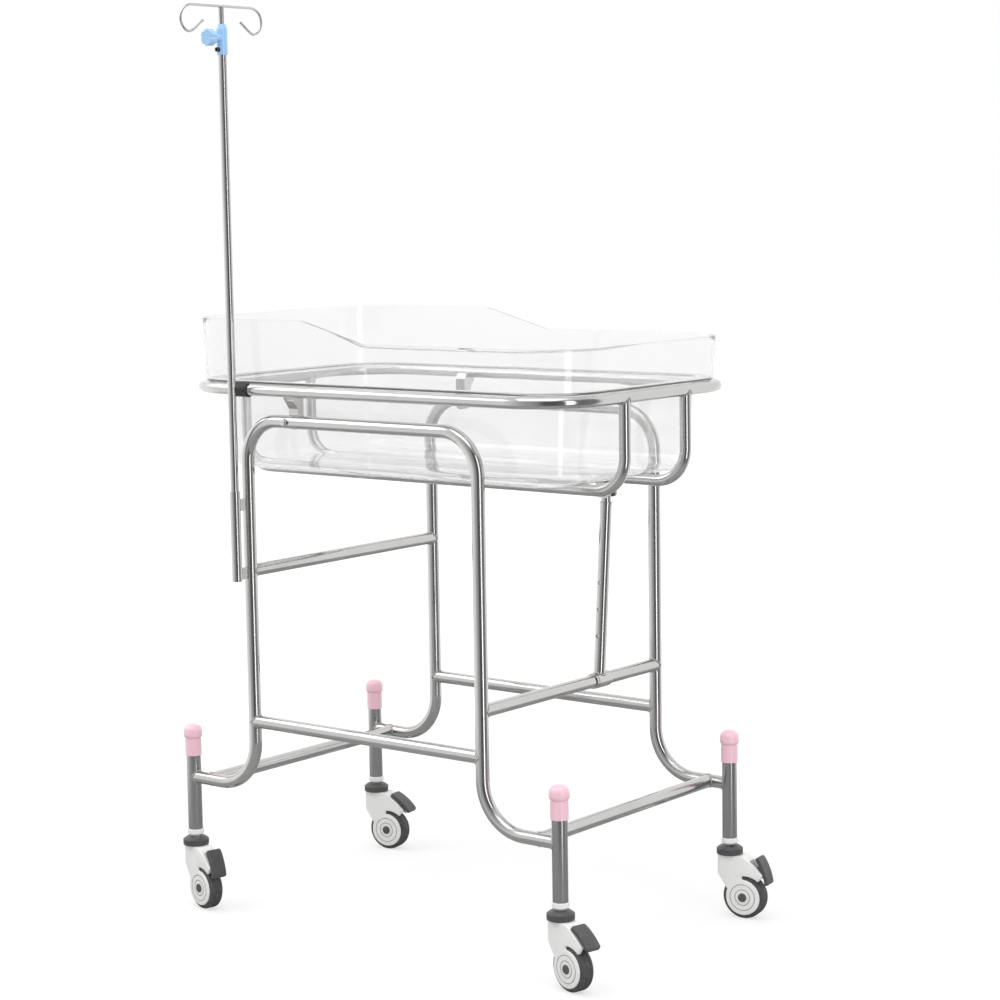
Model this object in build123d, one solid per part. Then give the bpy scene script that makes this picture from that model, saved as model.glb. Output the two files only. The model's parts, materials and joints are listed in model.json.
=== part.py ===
from build123d import *
import math
import os

# Hospital bassinet: a stainless tube frame on four braked casters carries a tilting
# cradle ring with two runners, a clear tub that lifts out, a three-step prop for the
# tilt and a drip pole with a sliding top rod.
#
# Millimetres. X runs along the bassinet, head end at -X with the drip pole, foot end
# at +X with the prop. Y runs across it, front side at -Y. Z is up from the floor.
# Everything is drawn about the middle of the four legs and moved at the end so that
# the origin is on the floor, under the middle of the whole object's box.

# Side frames: one bent tube each, arm, leg, top rail, leg and arm
frame_tube_d = 22.0
frame_wall = 1.5
frame_spread = 483.0
leg_spread = 498.0
top_rail_z = 865.0
top_bend_r = 70.0
arm_z = 230.5
arm_bend_r = 80.0

# Caster posts and their bumper caps
post_spread = 802.0
post_d = 25.0
post_wall = 1.5
post_bottom_z = 137.0
cap_bottom_z = 269.0
cap_sleeve_d = 28.5
cap_sleeve_h = 30.0
cap_ball_d = 32.5
cap_ball_h = 25.0
cap_widest_up = 11.25
cap_groove = 1.2
cap_fit = 0.1

# Bars between the side frames
side_bar_z = 347.0
head_bar_z = 607.5
prop_bar_z = 421.5
low_bar_inset = 41.0

# Cradle: ring, two runners under the tub
ring_d = 19.0
ring_wall = 1.5
ring_rise = 51.0
ring_length = 823.0
ring_width = 497.0
ring_corner_r = 104.0
ring_shift_x = 9.5
runner_spread = 170.0
runner_drop = 150.5
runner_bend_r = 55.0

# Tilt pivot: a bolt through each top rail and a lug under the ring
pivot_x = -153.0
tilt_max = 12.0
bolt_d = 8.0
bolt_head_d = 13.0
bolt_head_h = 5.0
nut_h = 5.0
lug_width = 20.0
lug_depth = 14.0
lug_gap = 1.6
lug_drop = 14.0
lug_rise = 21.0
lug_slope_drop = 10.45
lug_into_ring = 4.75
lug_foot_r = 7.0
washer_d = 17.0

# Prop: outer tube with a sleeve on the cross bar, inner tube pinned under the back runner
prop_y = 76.0
prop_lean = 19.0
prop_outer_d = 20.0
prop_wall = 1.5
prop_rim_below = 19.0
prop_rim_h = 4.0
prop_rim_thick = 0.8
prop_floor = 2.0
prop_sleeve_d = 27.0
prop_sleeve_len = 32.0
prop_steps = 2
first_hole_up = 76.0
button_d = 6.0
button_out = 3.2
button_play = 0.3
flange_d = 9.0
flange_h = 1.0
spring_t = 0.8
spring_w = 6.0
spring_len = 34.0
prop_pin_d = 6.0
prop_pin_head_d = 10.2
prop_pin_head_h = 2.0
prop_pin_drop = 21.5
prop_plate = 3.0
prop_plate_width = 27.0
prop_plate_below = 11.5
prop_plate_r = 8.1
prop_plate_into = 2.0
inner_tail = 14.0
collar_len = 5.0
collar_d = 26.0

# Drip pole in front of the head leg of the front side frame
pole_gap = 14.0
pole_d = 14.0
pole_wall = 1.2
pole_bottom_z = 596.0
pole_top_z = 1486.0
socket_d = 17.6
socket_bottom_z = 593.0
socket_top_z = 746.0
tab_h = 20.0
tab_thick = 6.0
low_tab_up = 12.0
high_tab_down = 24.0
rod_d = 9.0
rod_below = 340.0
rod_top_z = 1549.5
rod_travel = 300.0
rod_guide_h = 14.0
clamp_d = 18.0
clamp_h = 50.0
clamp_bottom_z = 1470.5
clamp_cone_h = 8.0
clamp_boss_d = 12.0
clamp_collar = 2.0
clamp_screw_up = 8.5
knob_up = 27.5
screw_head_d = 7.5
screw_head_h = 6.0
screw_sunk = 1.2
knob_d = 28.0
knob_h = 12.0
knob_reach = 30.0
knob_lobes = 6
knob_bite_d = 8.4
knob_bite_out = 2.6
knob_edge_r = 1.6
stud_d = 5.0
hook_wire_d = 4.5
hook_reach = 107.0
hook_r = 19.0
hook_tip_run = 40.0
hook_tip_rise = 24.0
hook_bead_d = 5.58

# Rubber buffer on the ring beside the pole
buffer_len = 32.0
buffer_wall = 2.5
buffer_edge_r = 1.5
buffer_tub_gap = 2.0

# Tub
tub_wall = 4.0
tub_inset = 36.0
tub_draft = 5.0
tub_floor_r = 26.0
tub_rim_inset = 4.0
tub_rim_draft = 2.0
tub_head_rise = 118.0
tub_foot_rise = 82.0
tub_slope_start_x = -113.0
tub_slope_end_x = 20.0
tub_slope_r = 60.0
seat_gap = 0.3

# Casters
wheel_d = 75.0
wheel_trail = 29.0
tyre_width = 24.0
tyre_depth = 9.5
tyre_round = 5.0
tread_groove_d = 1.4
tread_groove_y = 4.2
hub_rim = 3.0
hub_recess = 5.0
hub_boss_wall = 4.0
hub_draft = 1.0
axle_d = 8.0
axle_cap_d = 15.0
axle_cap_h = 2.0
axle_cap_chamfer = 0.9
housing_width = 30.0
housing_inset = 1.5
housing_chamfer = 1.2
wheel_side_gap = 0.5
cover_d = 66.0
cover_rings = (23.0, 14.0)
ring_groove = 1.5
wheel_clearance = 2.0
disc_d = 45.0
disc_h = 14.0
disc_chamfer_h = 4.0
disc_chamfer_in = 5.5
disc_edge_r = 1.5
nut_af = 16.0
stem_nut_h = 5.0
stem_d = 10.0
stem_tail = 12.0
bush_flange_d = 28.0
bush_flange_h = 9.0
bush_edge_r = 1.2
bush_plug_h = 24.0
pedal_pin_d = 4.0
pedal_pin_out = 21.0
pedal_pin_up = 42.5
nose_out = 16.0
nose_round = 2.0
brow_rise = 14.0
hood_reach = 28.0
hood_round = 6.0
slot_back = 10.0
slot_lift = 6.0
slot_h = 38.0
pedal_reach = 14.5
pedal_bow_r = 90.0
pedal_thick = 6.0
pedal_len = 50.0
pedal_width = 27.0
pedal_arm_w = 18.0
pedal_hub_r = 7.5
pedal_lean = 68.5
pedal_edge_r = 2.1
pedal_corner_r = 4.0
pedal_neck = 11.25
pedal_pin_short = 0.4
pedal_swing = 31.0
ear_gap = 0.6

# Running fit on the radius, and how far a cutting shape passes the faces that it cuts
running = 0.1
past = 1.0

# Worked out from the sizes above
frame_y = frame_spread / 2
leg_x = leg_spread / 2
post_x = post_spread / 2
ring_head_x = ring_shift_x - ring_length / 2
ring_foot_x = ring_shift_x + ring_length / 2
ring_y = ring_width / 2
ring_z = top_rail_z + ring_rise
runner_y = runner_spread / 2
runner_z = ring_z - runner_drop
tub_high_z = ring_z + tub_head_rise
tub_low_z = ring_z + tub_foot_rise
ring_top_z = ring_z + ring_d / 2
runner_top_z = runner_z + ring_d / 2
low_bar_x = post_x - low_bar_inset
pole_x = -leg_x
pole_y = -(frame_y + frame_tube_d / 2 + pole_gap + socket_d / 2)
tube_bore = pole_d - 2 * pole_wall

prop_inner_d = prop_outer_d - 2 * prop_wall - 2 * running
prop_foot = (leg_x, prop_bar_z)
prop_head = (leg_x + prop_lean, runner_z - prop_pin_drop)
prop_length = math.dist(prop_foot, prop_head)
prop_angle = math.degrees(math.atan2(prop_lean, prop_head[1] - prop_foot[1]))


def prop_head_at(tilt):
    """Place of the prop's top pin, in X and Z, with the foot end raised by tilt degrees."""
    turn = math.radians(tilt)
    dx = prop_head[0] - pivot_x
    dz = prop_head[1] - top_rail_z
    x = pivot_x + dx * math.cos(turn) - dz * math.sin(turn)
    z = top_rail_z + dx * math.sin(turn) + dz * math.cos(turn)
    return x, z


def prop_reach_at(tilt):
    """Length of the prop and its lean from upright, in degrees, at a tilt."""
    x, z = prop_head_at(tilt)
    dx = x - prop_foot[0]
    dz = z - prop_foot[1]
    return math.hypot(dx, dz), math.degrees(math.atan2(dx, dz))


prop_travel = prop_reach_at(tilt_max)[0] - prop_length
hole_pitch = prop_travel / prop_steps


def pin_stray(ratio):
    """How far the top pin strays along and across its slot when the prop swings and
    lengthens in even proportion to the tilt."""
    along = 0.0
    across = 0.0
    steps = 24
    for step in range(1, steps + 1):
        tilt = tilt_max * step / steps
        lean = math.radians(prop_angle + ratio * tilt)
        reach = prop_length + prop_travel * step / steps
        dx = prop_foot[0] + reach * math.sin(lean) - pivot_x
        dz = prop_foot[1] + reach * math.cos(lean) - top_rail_z
        back = math.radians(tilt)
        x = pivot_x + dx * math.cos(back) + dz * math.sin(back)
        z = top_rail_z - dx * math.sin(back) + dz * math.cos(back)
        along = max(along, abs(x - prop_head[0]))
        across = max(across, abs(z - prop_head[1]))
    return along, across


swing_ratio = min((k / 1000 for k in range(50, 300)), key=pin_stray)
slot_along, slot_across = pin_stray(swing_ratio)


def rod_between(a, b, d):
    """A round bar between two points."""
    start = Vector(*a)
    run = Vector(*b) - start
    return extrude(Plane(origin=start, z_dir=run) * Circle(d / 2), run.length)


def hollow_sweep(path, d, wall):
    """A tube with its bore, along a path."""
    start = Plane(origin=path @ 0, z_dir=path % 0)
    return sweep(start * (Circle(d / 2) - Circle(d / 2 - wall)), path=path)


def straight_tube(a, b, d, wall):
    """A straight tube with its bore."""
    return rod_between(a, b, d) - rod_between(a, b, d - 2 * wall)


def side_frame(y):
    """One bent tube: arm, leg, top rail, leg, arm, with its ends shaped to the posts."""
    route = FilletPolyline(
        (-post_x, y, arm_z),
        (-leg_x, y, arm_z),
        (-leg_x, y, top_rail_z),
        (leg_x, y, top_rail_z),
        (leg_x, y, arm_z),
        (post_x, y, arm_z),
        radius=[arm_bend_r, top_bend_r, top_bend_r, arm_bend_r],
    )
    body = hollow_sweep(route, frame_tube_d, frame_wall)
    for x in (-post_x, post_x):
        body -= post_envelope(x, y)
    across = rod_between((pivot_x, y - frame_tube_d, top_rail_z),
                         (pivot_x, y + frame_tube_d, top_rail_z), bolt_d)
    return body - across


def post_envelope(x, y):
    return rod_between((x, y, post_bottom_z), (x, y, cap_bottom_z + cap_sleeve_h), post_d)


def post(x, y):
    """A caster post: tube, open at the bottom for the bush, under its cap at the top."""
    top = cap_bottom_z + cap_sleeve_h - cap_fit
    return straight_tube((x, y, post_bottom_z), (x, y, top), post_d, post_wall)


def bumper_cap(x, y):
    """A soft cap: a sleeve over the post, a small groove and a slightly squashed ball on top."""
    sleeve_top = cap_bottom_z + cap_sleeve_h
    neck = cap_sleeve_d / 2
    lip_z = sleeve_top - cap_groove
    shoulder_z = sleeve_top + cap_groove
    top_z = sleeve_top + cap_ball_h
    profile = Polyline((0, cap_bottom_z), (neck, cap_bottom_z), (neck, lip_z))
    profile += ThreePointArc((neck, lip_z), (neck - cap_groove, sleeve_top), (neck, shoulder_z))
    profile += Spline((neck, shoulder_z), (cap_ball_d / 2, sleeve_top + cap_widest_up), (0, top_z),
                      tangents=[(0.7, 0.7), (0, 1), (-1, 0)])
    profile += Line((0, top_z), (0, cap_bottom_z))
    body = revolve(Plane.XZ * make_face(profile), Axis.Z)
    bore = rod_between((0, 0, cap_bottom_z), (0, 0, sleeve_top), post_d + 2 * cap_fit)
    return Pos(x, y, 0) * (body - bore)


def side_bar(y):
    """Bar along one side, between the legs."""
    bar = straight_tube((-leg_x, y, side_bar_z), (leg_x, y, side_bar_z), frame_tube_d, frame_wall)
    for x in (-leg_x, leg_x):
        bar -= rod_between((x, y, side_bar_z - frame_tube_d), (x, y, side_bar_z + frame_tube_d),
                           frame_tube_d)
    return bar


def bar_across_legs(x, z):
    """Bar across the bassinet, from a leg to the leg opposite."""
    bar = straight_tube((x, -frame_y, z), (x, frame_y, z), frame_tube_d, frame_wall)
    for y in (-frame_y, frame_y):
        bar -= rod_between((x, y, z - frame_tube_d), (x, y, z + frame_tube_d), frame_tube_d)
    return bar


def bar_across_arms(x):
    """Low bar across the bassinet, from an arm to the arm opposite, beside the posts."""
    bar = straight_tube((x, -frame_y, arm_z), (x, frame_y, arm_z), frame_tube_d, frame_wall)
    for y in (-frame_y, frame_y):
        bar -= rod_between((x - frame_tube_d, y, arm_z), (x + frame_tube_d, y, arm_z), frame_tube_d)
    return bar


def prop_bar():
    """The bar that carries the prop, with a collar each side of the prop's sleeve."""
    bar = bar_across_legs(leg_x, prop_bar_z)
    for side in (-1, 1):
        near = prop_y + side * (prop_sleeve_len / 2 + seat_gap)
        far = near + side * collar_len
        collar = rod_between((leg_x, near, prop_bar_z), (leg_x, far, prop_bar_z), collar_d)
        bar += collar - rod_between((leg_x, near, prop_bar_z), (leg_x, far, prop_bar_z),
                                    frame_tube_d - 2 * frame_wall)
    return bar


def ring_plan():
    return Pos(ring_shift_x, 0, ring_z) * RectangleRounded(ring_length, ring_width, ring_corner_r)


def top_ring():
    """The round-cornered ring that carries the tub's rim."""
    return hollow_sweep(ring_plan().wire(), ring_d, ring_wall)


def ring_end_envelope(x):
    return rod_between((x, -ring_y + ring_corner_r, ring_z), (x, ring_y - ring_corner_r, ring_z), ring_d)


def runner(y):
    """A U-shaped runner that hangs from the ring's two ends and passes under the tub."""
    route = FilletPolyline(
        (ring_head_x, y, ring_z),
        (ring_head_x, y, runner_z),
        (ring_foot_x, y, runner_z),
        (ring_foot_x, y, ring_z),
        radius=runner_bend_r,
    )
    body = hollow_sweep(route, ring_d, ring_wall)
    return body - ring_end_envelope(ring_head_x) - ring_end_envelope(ring_foot_x)


def pivot_lug(side):
    """A forged lug from the ring down the inner side of the top rail, bored for the bolt."""
    outer = frame_y - frame_tube_d / 2 - lug_gap
    inner = outer - lug_depth
    face = ring_y - lug_into_ring
    with BuildSketch(Plane.YZ.offset(pivot_x - lug_width / 2)) as profile:
        with BuildLine():
            Polyline(
                (side * inner, top_rail_z - lug_drop),
                (side * outer, top_rail_z - lug_drop),
                (side * outer, top_rail_z + lug_rise),
                (side * face, ring_z - lug_slope_drop),
                (side * face, ring_z),
                (side * (inner + ring_d / 3), ring_z),
                (side * inner, ring_z - ring_d / 2),
                close=True,
            )
        make_face()
    body = extrude(profile.sketch, lug_width)
    foot = body.edges().filter_by(Axis.Y).group_by(Axis.Z)[0]
    body = fillet(foot, lug_foot_r)
    body -= rod_between((pivot_x - lug_width, side * ring_y, ring_z),
                        (pivot_x + lug_width, side * ring_y, ring_z), ring_d)
    return body - rod_between((pivot_x, side * (inner - past), top_rail_z),
                              (pivot_x, side * (outer + past), top_rail_z), bolt_d + 2 * running)


def pivot_bolt(side):
    """Bolt through the top rail and the lug, domed head outside, nut inside."""
    rail_face = frame_y + frame_tube_d / 2
    lug_inner = frame_y - frame_tube_d / 2 - lug_gap - lug_depth
    nut_near = lug_inner - seat_gap
    shank_end = nut_near - nut_h
    shank = rod_between((pivot_x, side * shank_end, top_rail_z),
                        (pivot_x, side * rail_face, top_rail_z), bolt_d)
    head = Plane(origin=(pivot_x, side * (rail_face - past), top_rail_z), z_dir=(0, side, 0))
    head_body = extrude(head * Circle(bolt_head_d / 2), bolt_head_h + past)
    head_body = fillet(head_body.edges().group_by(Axis.Y)[-1 if side > 0 else 0], bolt_head_h * 0.5)
    rail = rod_between((pivot_x - bolt_head_d, side * frame_y, top_rail_z),
                       (pivot_x + bolt_head_d, side * frame_y, top_rail_z), frame_tube_d)
    nut = Plane(origin=(pivot_x, side * shank_end, top_rail_z), z_dir=(0, side, 0))
    nut_body = extrude(nut * RegularPolygon(bolt_head_d / 2, 6), nut_h)
    return shank + (head_body - rail) + nut_body


def prop_lug():
    """A folded bracket under the back runner, with slots for the prop's top pin."""
    x, z = prop_head
    half = prop_inner_d / 2 + ear_gap
    top = runner_z - ring_d / 2
    high = top + prop_plate_into
    bottom = z - prop_plate_below
    block = Pos(x, prop_y, (high + bottom) / 2) * Box(
        prop_plate_width, 2 * half + 2 * prop_plate, high - bottom)
    inside = Pos(x, prop_y, (top - prop_plate + bottom) / 2) * Box(
        prop_plate_width + 2 * past, 2 * half, top - prop_plate - bottom)
    body = block - inside
    low = body.edges().filter_by(Axis.Y).group_by(Axis.Z)[0]
    body = fillet(low, prop_plate_r)
    body -= rod_between((x - prop_plate_width, runner_y, runner_z),
                        (x + prop_plate_width, runner_y, runner_z), ring_d)
    slot_plane = Plane(origin=(x, prop_y - half - 2 * prop_plate, z), x_dir=(1, 0, 0), z_dir=(0, 1, 0))
    slot = SlotCenterToCenter(2 * slot_along + 2 * seat_gap,
                              prop_pin_d + 2 * slot_across + 2 * running)
    return body - extrude(slot_plane * slot, 2 * half + 4 * prop_plate)


prop_plane = Plane(origin=(prop_foot[0], prop_y, prop_foot[1]), x_dir=(0, -1, 0),
                   z_dir=(prop_lean, 0, prop_head[1] - prop_foot[1]))


def along_prop(low, high, d):
    """A round bar on the prop's own axis, between two distances from the foot."""
    return extrude(prop_plane.offset(low) * Circle(d / 2), high - low)


def across_prop(up, d, start, end):
    """A round bar across the prop, towards the front, at a distance from the foot."""
    return prop_plane * Pos(0, 0, up) * Rot(0, 90, 0) * Pos(0, 0, start) * Cylinder(
        d / 2, end - start, align=(Align.CENTER, Align.CENTER, Align.MIN))


def prop_outer():
    """Outer tube with its holes and rim, welded to the sleeve that turns on the bar."""
    low = prop_sleeve_d / 4
    high = prop_length - prop_rim_below
    tube = along_prop(low, high, prop_outer_d)
    rim = along_prop(high - prop_rim_h, high, prop_outer_d + 2 * prop_rim_thick)
    sleeve = rod_between((leg_x, prop_y - prop_sleeve_len / 2, prop_bar_z),
                         (leg_x, prop_y + prop_sleeve_len / 2, prop_bar_z), prop_sleeve_d)
    body = tube + rim + sleeve
    body -= along_prop(prop_sleeve_d / 2 + prop_floor, high + past, prop_outer_d - 2 * prop_wall)
    body -= rod_between((leg_x, prop_y - prop_sleeve_len, prop_bar_z),
                        (leg_x, prop_y + prop_sleeve_len, prop_bar_z), frame_tube_d + 2 * running)
    for step in range(prop_steps + 1):
        up = first_hole_up + step * hole_pitch
        body -= across_prop(up, button_d + 2 * button_play, 0, prop_outer_d)
    return body


def prop_inner():
    """Inner tube that slides in the outer one and takes the pin at its top."""
    low = first_hole_up - inner_tail
    high = prop_length + prop_pin_d
    bore = along_prop(low - past, high + past, prop_inner_d - 2 * prop_wall)
    body = along_prop(low, high, prop_inner_d) - bore
    body -= across_prop(prop_length, prop_pin_d, -prop_inner_d, prop_inner_d)
    return body - across_prop(first_hole_up, button_d + 2 * running, 0, prop_inner_d)


def prop_pin():
    """Pin through the inner tube and the bracket's slots, with a head at each end."""
    reach = prop_inner_d / 2 + ear_gap + prop_plate + seat_gap
    end = reach + prop_pin_head_h
    pin = across_prop(prop_length, prop_pin_d, -end, end)
    for start in (-end, reach):
        pin += across_prop(prop_length, prop_pin_head_d, start, start + prop_pin_head_h)
    return pin


def button_root():
    """Where the button's flange starts, measured across the inner tube from its axis."""
    bore = prop_inner_d / 2 - prop_wall
    return math.sqrt(bore ** 2 - (flange_d / 2) ** 2) - flange_h - button_out - seat_gap


def prop_button():
    """Sprung button, drawn pressed in so that the inner tube can slide."""
    bore = prop_outer_d / 2 - prop_wall
    face = math.sqrt(bore ** 2 - (button_d / 2) ** 2) - seat_gap
    root = button_root()
    stem = across_prop(first_hole_up, button_d, root, face)
    return stem + across_prop(first_hole_up, flange_d, root, root + flange_h)


def prop_spring():
    """Leaf spring folded inside the inner tube: one end behind the button, one on the far wall."""
    front = button_root() - seat_gap - spring_t / 2
    bore = prop_inner_d / 2 - prop_wall
    back = math.sqrt(bore ** 2 - (spring_w / 2) ** 2) - seat_gap - spring_t / 2
    foot = first_hole_up - flange_d / 2
    fold = first_hole_up + spring_len
    leaf = Polyline((front, foot), (front, first_hole_up + flange_d / 2), (-spring_t, fold),
                    (-back, first_hole_up + flange_d / 2), (-back, foot))
    run = prop_plane.z_dir
    side_view = Plane(origin=prop_plane.origin, x_dir=(0, -1, 0), z_dir=(-run.Z, 0, run.X))
    half = spring_w / 2
    return extrude(side_view.offset(-half) * trace(leaf, spring_t), spring_w)


def pivot_washer(side):
    """Nylon washer on the pivot bolt, between the lug and the top rail."""
    lug_face = frame_y - frame_tube_d / 2 - lug_gap
    rail_face = frame_y - frame_tube_d / 2 - seat_gap
    a = (pivot_x, side * lug_face, top_rail_z)
    b = (pivot_x, side * rail_face, top_rail_z)
    return rod_between(a, b, washer_d) - rod_between(a, b, bolt_d + 2 * running)


def pole_socket():
    """Socket tube for the drip pole, with two tabs to the leg and a closed foot."""
    body = rod_between((pole_x, pole_y, socket_bottom_z), (pole_x, pole_y, socket_top_z), socket_d)
    for z in (socket_bottom_z + low_tab_up, socket_top_z - high_tab_down):
        tab = Pos(pole_x, (pole_y - frame_y) / 2, z) * Box(tab_thick, abs(pole_y + frame_y), tab_h)
        body += tab
    leg = rod_between((-leg_x, -frame_y, socket_bottom_z - tab_h),
                      (-leg_x, -frame_y, socket_top_z + tab_h), frame_tube_d)
    bore = rod_between((pole_x, pole_y, pole_bottom_z), (pole_x, pole_y, socket_top_z + past),
                       pole_d + running)
    return body - leg - bore


def pole_tube():
    """Pole, standing in its socket and clamped at its top."""
    foot = (pole_x, pole_y, pole_bottom_z)
    return straight_tube(foot, (pole_x, pole_y, pole_top_z), pole_d, pole_wall)


def knob_axis_z():
    return clamp_bottom_z + knob_up


def pole_clamp():
    """Moulded clamp on the pole's top: body, cone, boss for the knob and a cross screw."""
    low = clamp_bottom_z
    shoulder = low + clamp_h - clamp_cone_h
    body = rod_between((pole_x, pole_y, low), (pole_x, pole_y, shoulder), clamp_d)
    cone = Plane(origin=(pole_x, pole_y, shoulder)) * Cone(
        clamp_d / 2, rod_d / 2 + clamp_collar, clamp_cone_h, align=(Align.CENTER, Align.CENTER, Align.MIN))
    body += cone
    z = knob_axis_z()
    boss_reach = knob_reach - knob_h / 2 - seat_gap
    body += rod_between((pole_x, pole_y, z), (pole_x, pole_y - boss_reach, z), clamp_boss_d)
    body -= rod_between((pole_x, pole_y, low - past), (pole_x, pole_y, pole_top_z), pole_d)
    body -= rod_between((pole_x, pole_y, pole_top_z), (pole_x, pole_y, low + clamp_h + past),
                        rod_d + 2 * running)
    body -= rod_between((pole_x, knob_stud_end(), z), (pole_x, pole_y - knob_reach, z),
                        stud_d + 2 * running)
    return body - screw_room()


def knob_stud_end():
    """Where the knob's stud stops, just clear of the sliding rod."""
    return pole_y - rod_d / 2 - seat_gap


def screw_axis_z():
    return clamp_bottom_z + clamp_screw_up


def screw_room():
    """Recess in the clamp where its screw's head seats."""
    z = screw_axis_z()
    seat = pole_y - clamp_d / 2 + screw_sunk
    return rod_between((pole_x, seat, z), (pole_x, seat - screw_head_h, z), screw_head_d)


def clamp_screw():
    """Dark socket screw that closes the clamp on the pole."""
    z = screw_axis_z()
    mouth = pole_y - clamp_d / 2 + screw_sunk - screw_head_h
    socket = rod_between((pole_x, mouth, z), (pole_x, mouth + screw_head_h / 2, z), screw_head_d / 2)
    return screw_room() - socket


def clamp_knob():
    """Hand knob with six soft lobes on a stud."""
    z = knob_axis_z()
    y = pole_y - knob_reach - knob_h / 2
    face = Plane(origin=(pole_x, y, z), z_dir=(0, 1, 0))
    outline = Circle(knob_d / 2)
    for k in range(knob_lobes):
        turn = math.radians(360 * (k + 0.5) / knob_lobes)
        bite = knob_d / 2 + knob_bite_out
        outline -= Pos(bite * math.cos(turn), bite * math.sin(turn)) * Circle(knob_bite_d / 2)
    body = extrude(face * outline, knob_h)
    body = fillet(body.faces().sort_by(Axis.Y)[0].outer_wire().edges(), knob_edge_r)
    return body + rod_between((pole_x, y + knob_h, z), (pole_x, knob_stud_end(), z), stud_d)


def pole_rod():
    """Top rod that slides in the pole, with a guide at its lower end."""
    low = pole_top_z - rod_below
    rod = rod_between((pole_x, pole_y, low), (pole_x, pole_y, rod_top_z - hook_wire_d / 2), rod_d)
    guide = rod_between((pole_x, pole_y, low), (pole_x, pole_y, low + rod_guide_h),
                        tube_bore - 2 * running)
    bar = rod_between((pole_x, pole_y - rod_d, rod_top_z), (pole_x, pole_y + rod_d, rod_top_z), hook_wire_d)
    return rod + guide - bar


def pole_hooks():
    """One bent wire: a cross bar whose ends curl down and back up to the tips."""
    turn_y = hook_reach - hook_r
    leave = math.atan2(hook_tip_run, hook_tip_rise) - math.pi
    wires = None
    for side in (-1, 1):
        curl = Plane(origin=(pole_x, pole_y + side * turn_y, rod_top_z - hook_r),
                     x_dir=(0, side, 0), z_dir=(side, 0, 0))
        with BuildLine(curl) as route:
            Line((-turn_y, hook_r), (0, hook_r))
            bend = CenterArc((0, 0), hook_r, 90, math.degrees(leave) - 90)
            Line(bend @ 1, bend @ 1 + (bend % 1) * hook_tip_run)
        start = Plane(origin=(pole_x, pole_y, rod_top_z), z_dir=(0, side, 0))
        wire = sweep(start * Circle(hook_wire_d / 2), path=route.wire())
        tip = route.line @ 1
        wire += Pos(tip.X, tip.Y, tip.Z) * Sphere(hook_bead_d / 2)
        wires = wire if wires is None else wires + wire
    return wires


def ring_buffer():
    """Rubber sleeve on the ring where the pole passes, cut away under the tub's ledge."""
    a = (pole_x - buffer_len / 2, -ring_y, ring_z)
    b = (pole_x + buffer_len / 2, -ring_y, ring_z)
    outer = rod_between(a, b, ring_d + 2 * buffer_wall)
    outer = fillet(outer.edges().filter_by(GeomType.CIRCLE), buffer_edge_r)
    tub_room = Pos(pole_x, -ring_y - past + ring_d, ring_z + buffer_tub_gap + ring_d) * Box(
        buffer_len + 2 * past, 2 * ring_d, 2 * ring_d)
    plan = ring_plan().wire()
    ring = sweep(Plane(origin=plan @ 0, z_dir=plan % 0) * Circle(ring_d / 2), path=plan)
    return outer - ring - tub_room


def round_box(x0, x1, half_y, r):
    """Outline of the tub at one level: a rectangle with round corners."""
    return Pos((x0 + x1) / 2, 0) * RectangleRounded(x1 - x0, 2 * half_y, r)


def tub_body(floor_z, ledge_z, grow, round_r):
    """The tub's outer or inner form: tapered well, then the upstand above the ring."""
    well = round_box(ring_head_x + tub_inset - grow, ring_foot_x - tub_inset + grow,
                     ring_y - tub_inset + grow, ring_corner_r - tub_inset + grow)
    body = extrude(Pos(0, 0, ledge_z) * well, -(ledge_z - floor_z), taper=tub_draft)
    body = fillet(body.faces().sort_by(Axis.Z)[0].edges(), round_r)
    rim = round_box(ring_head_x + tub_rim_inset - grow, ring_foot_x - tub_rim_inset + grow,
                    ring_y - tub_rim_inset + grow, ring_corner_r - tub_rim_inset + grow)
    return body + extrude(Pos(0, 0, ledge_z) * rim, tub_high_z + tub_wall - ledge_z,
                          taper=-tub_rim_draft)


def tub():
    """Clear tub: well between the runners and the ring, ledge on the ring, high head end."""
    ledge = ring_top_z + seat_gap
    floor = runner_top_z + seat_gap
    outer = tub_body(floor, ledge, 0, tub_floor_r)
    inner = tub_body(floor + tub_wall, ledge + tub_wall, -tub_wall, tub_floor_r - tub_wall)
    body = outer - inner
    reach = ring_length
    lid_z = tub_high_z + 4 * tub_wall
    edge = FilletPolyline((-reach, tub_high_z), (tub_slope_start_x, tub_high_z),
                          (tub_slope_end_x, tub_low_z), (reach, tub_low_z),
                          radius=[tub_slope_r, tub_slope_r])
    lid = Polyline((reach, tub_low_z), (reach, lid_z), (-reach, lid_z), (-reach, tub_high_z))
    above = Plane.XZ.offset(-ring_width) * make_face(edge + lid)
    return body - extrude(above, 2 * ring_width)


def caster_bush(x, y):
    """White bush: plug in the post's bore, flange under it."""
    low = post_bottom_z - bush_flange_h
    body = rod_between((x, y, low), (x, y, post_bottom_z), bush_flange_d)
    body = fillet(body.edges().filter_by(GeomType.CIRCLE), bush_edge_r)
    plug_top = post_bottom_z + bush_plug_h
    body += rod_between((x, y, post_bottom_z - bush_edge_r), (x, y, plug_top), post_d - 2 * post_wall)
    return body - rod_between((x, y, low - past), (x, y, plug_top + past), stem_d)


def caster_stem(x, y):
    """Stem through the bush, hex nut under it, tail that the swivel turns on."""
    nut_top = post_bottom_z - bush_flange_h
    tail = nut_top - stem_nut_h - disc_h - stem_tail
    body = rod_between((x, y, tail), (x, y, post_bottom_z + bush_plug_h), stem_d)
    return body + Pos(x, y, nut_top - stem_nut_h) * extrude(
        RegularPolygon(nut_af / 2, 6, major_radius=False), stem_nut_h)


disc_top_z = post_bottom_z - bush_flange_h - stem_nut_h - seat_gap
disc_bottom_z = disc_top_z - disc_h
wheel_r = wheel_d / 2
pedal_pin = (wheel_trail + pedal_pin_out, wheel_r + pedal_pin_up)


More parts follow.
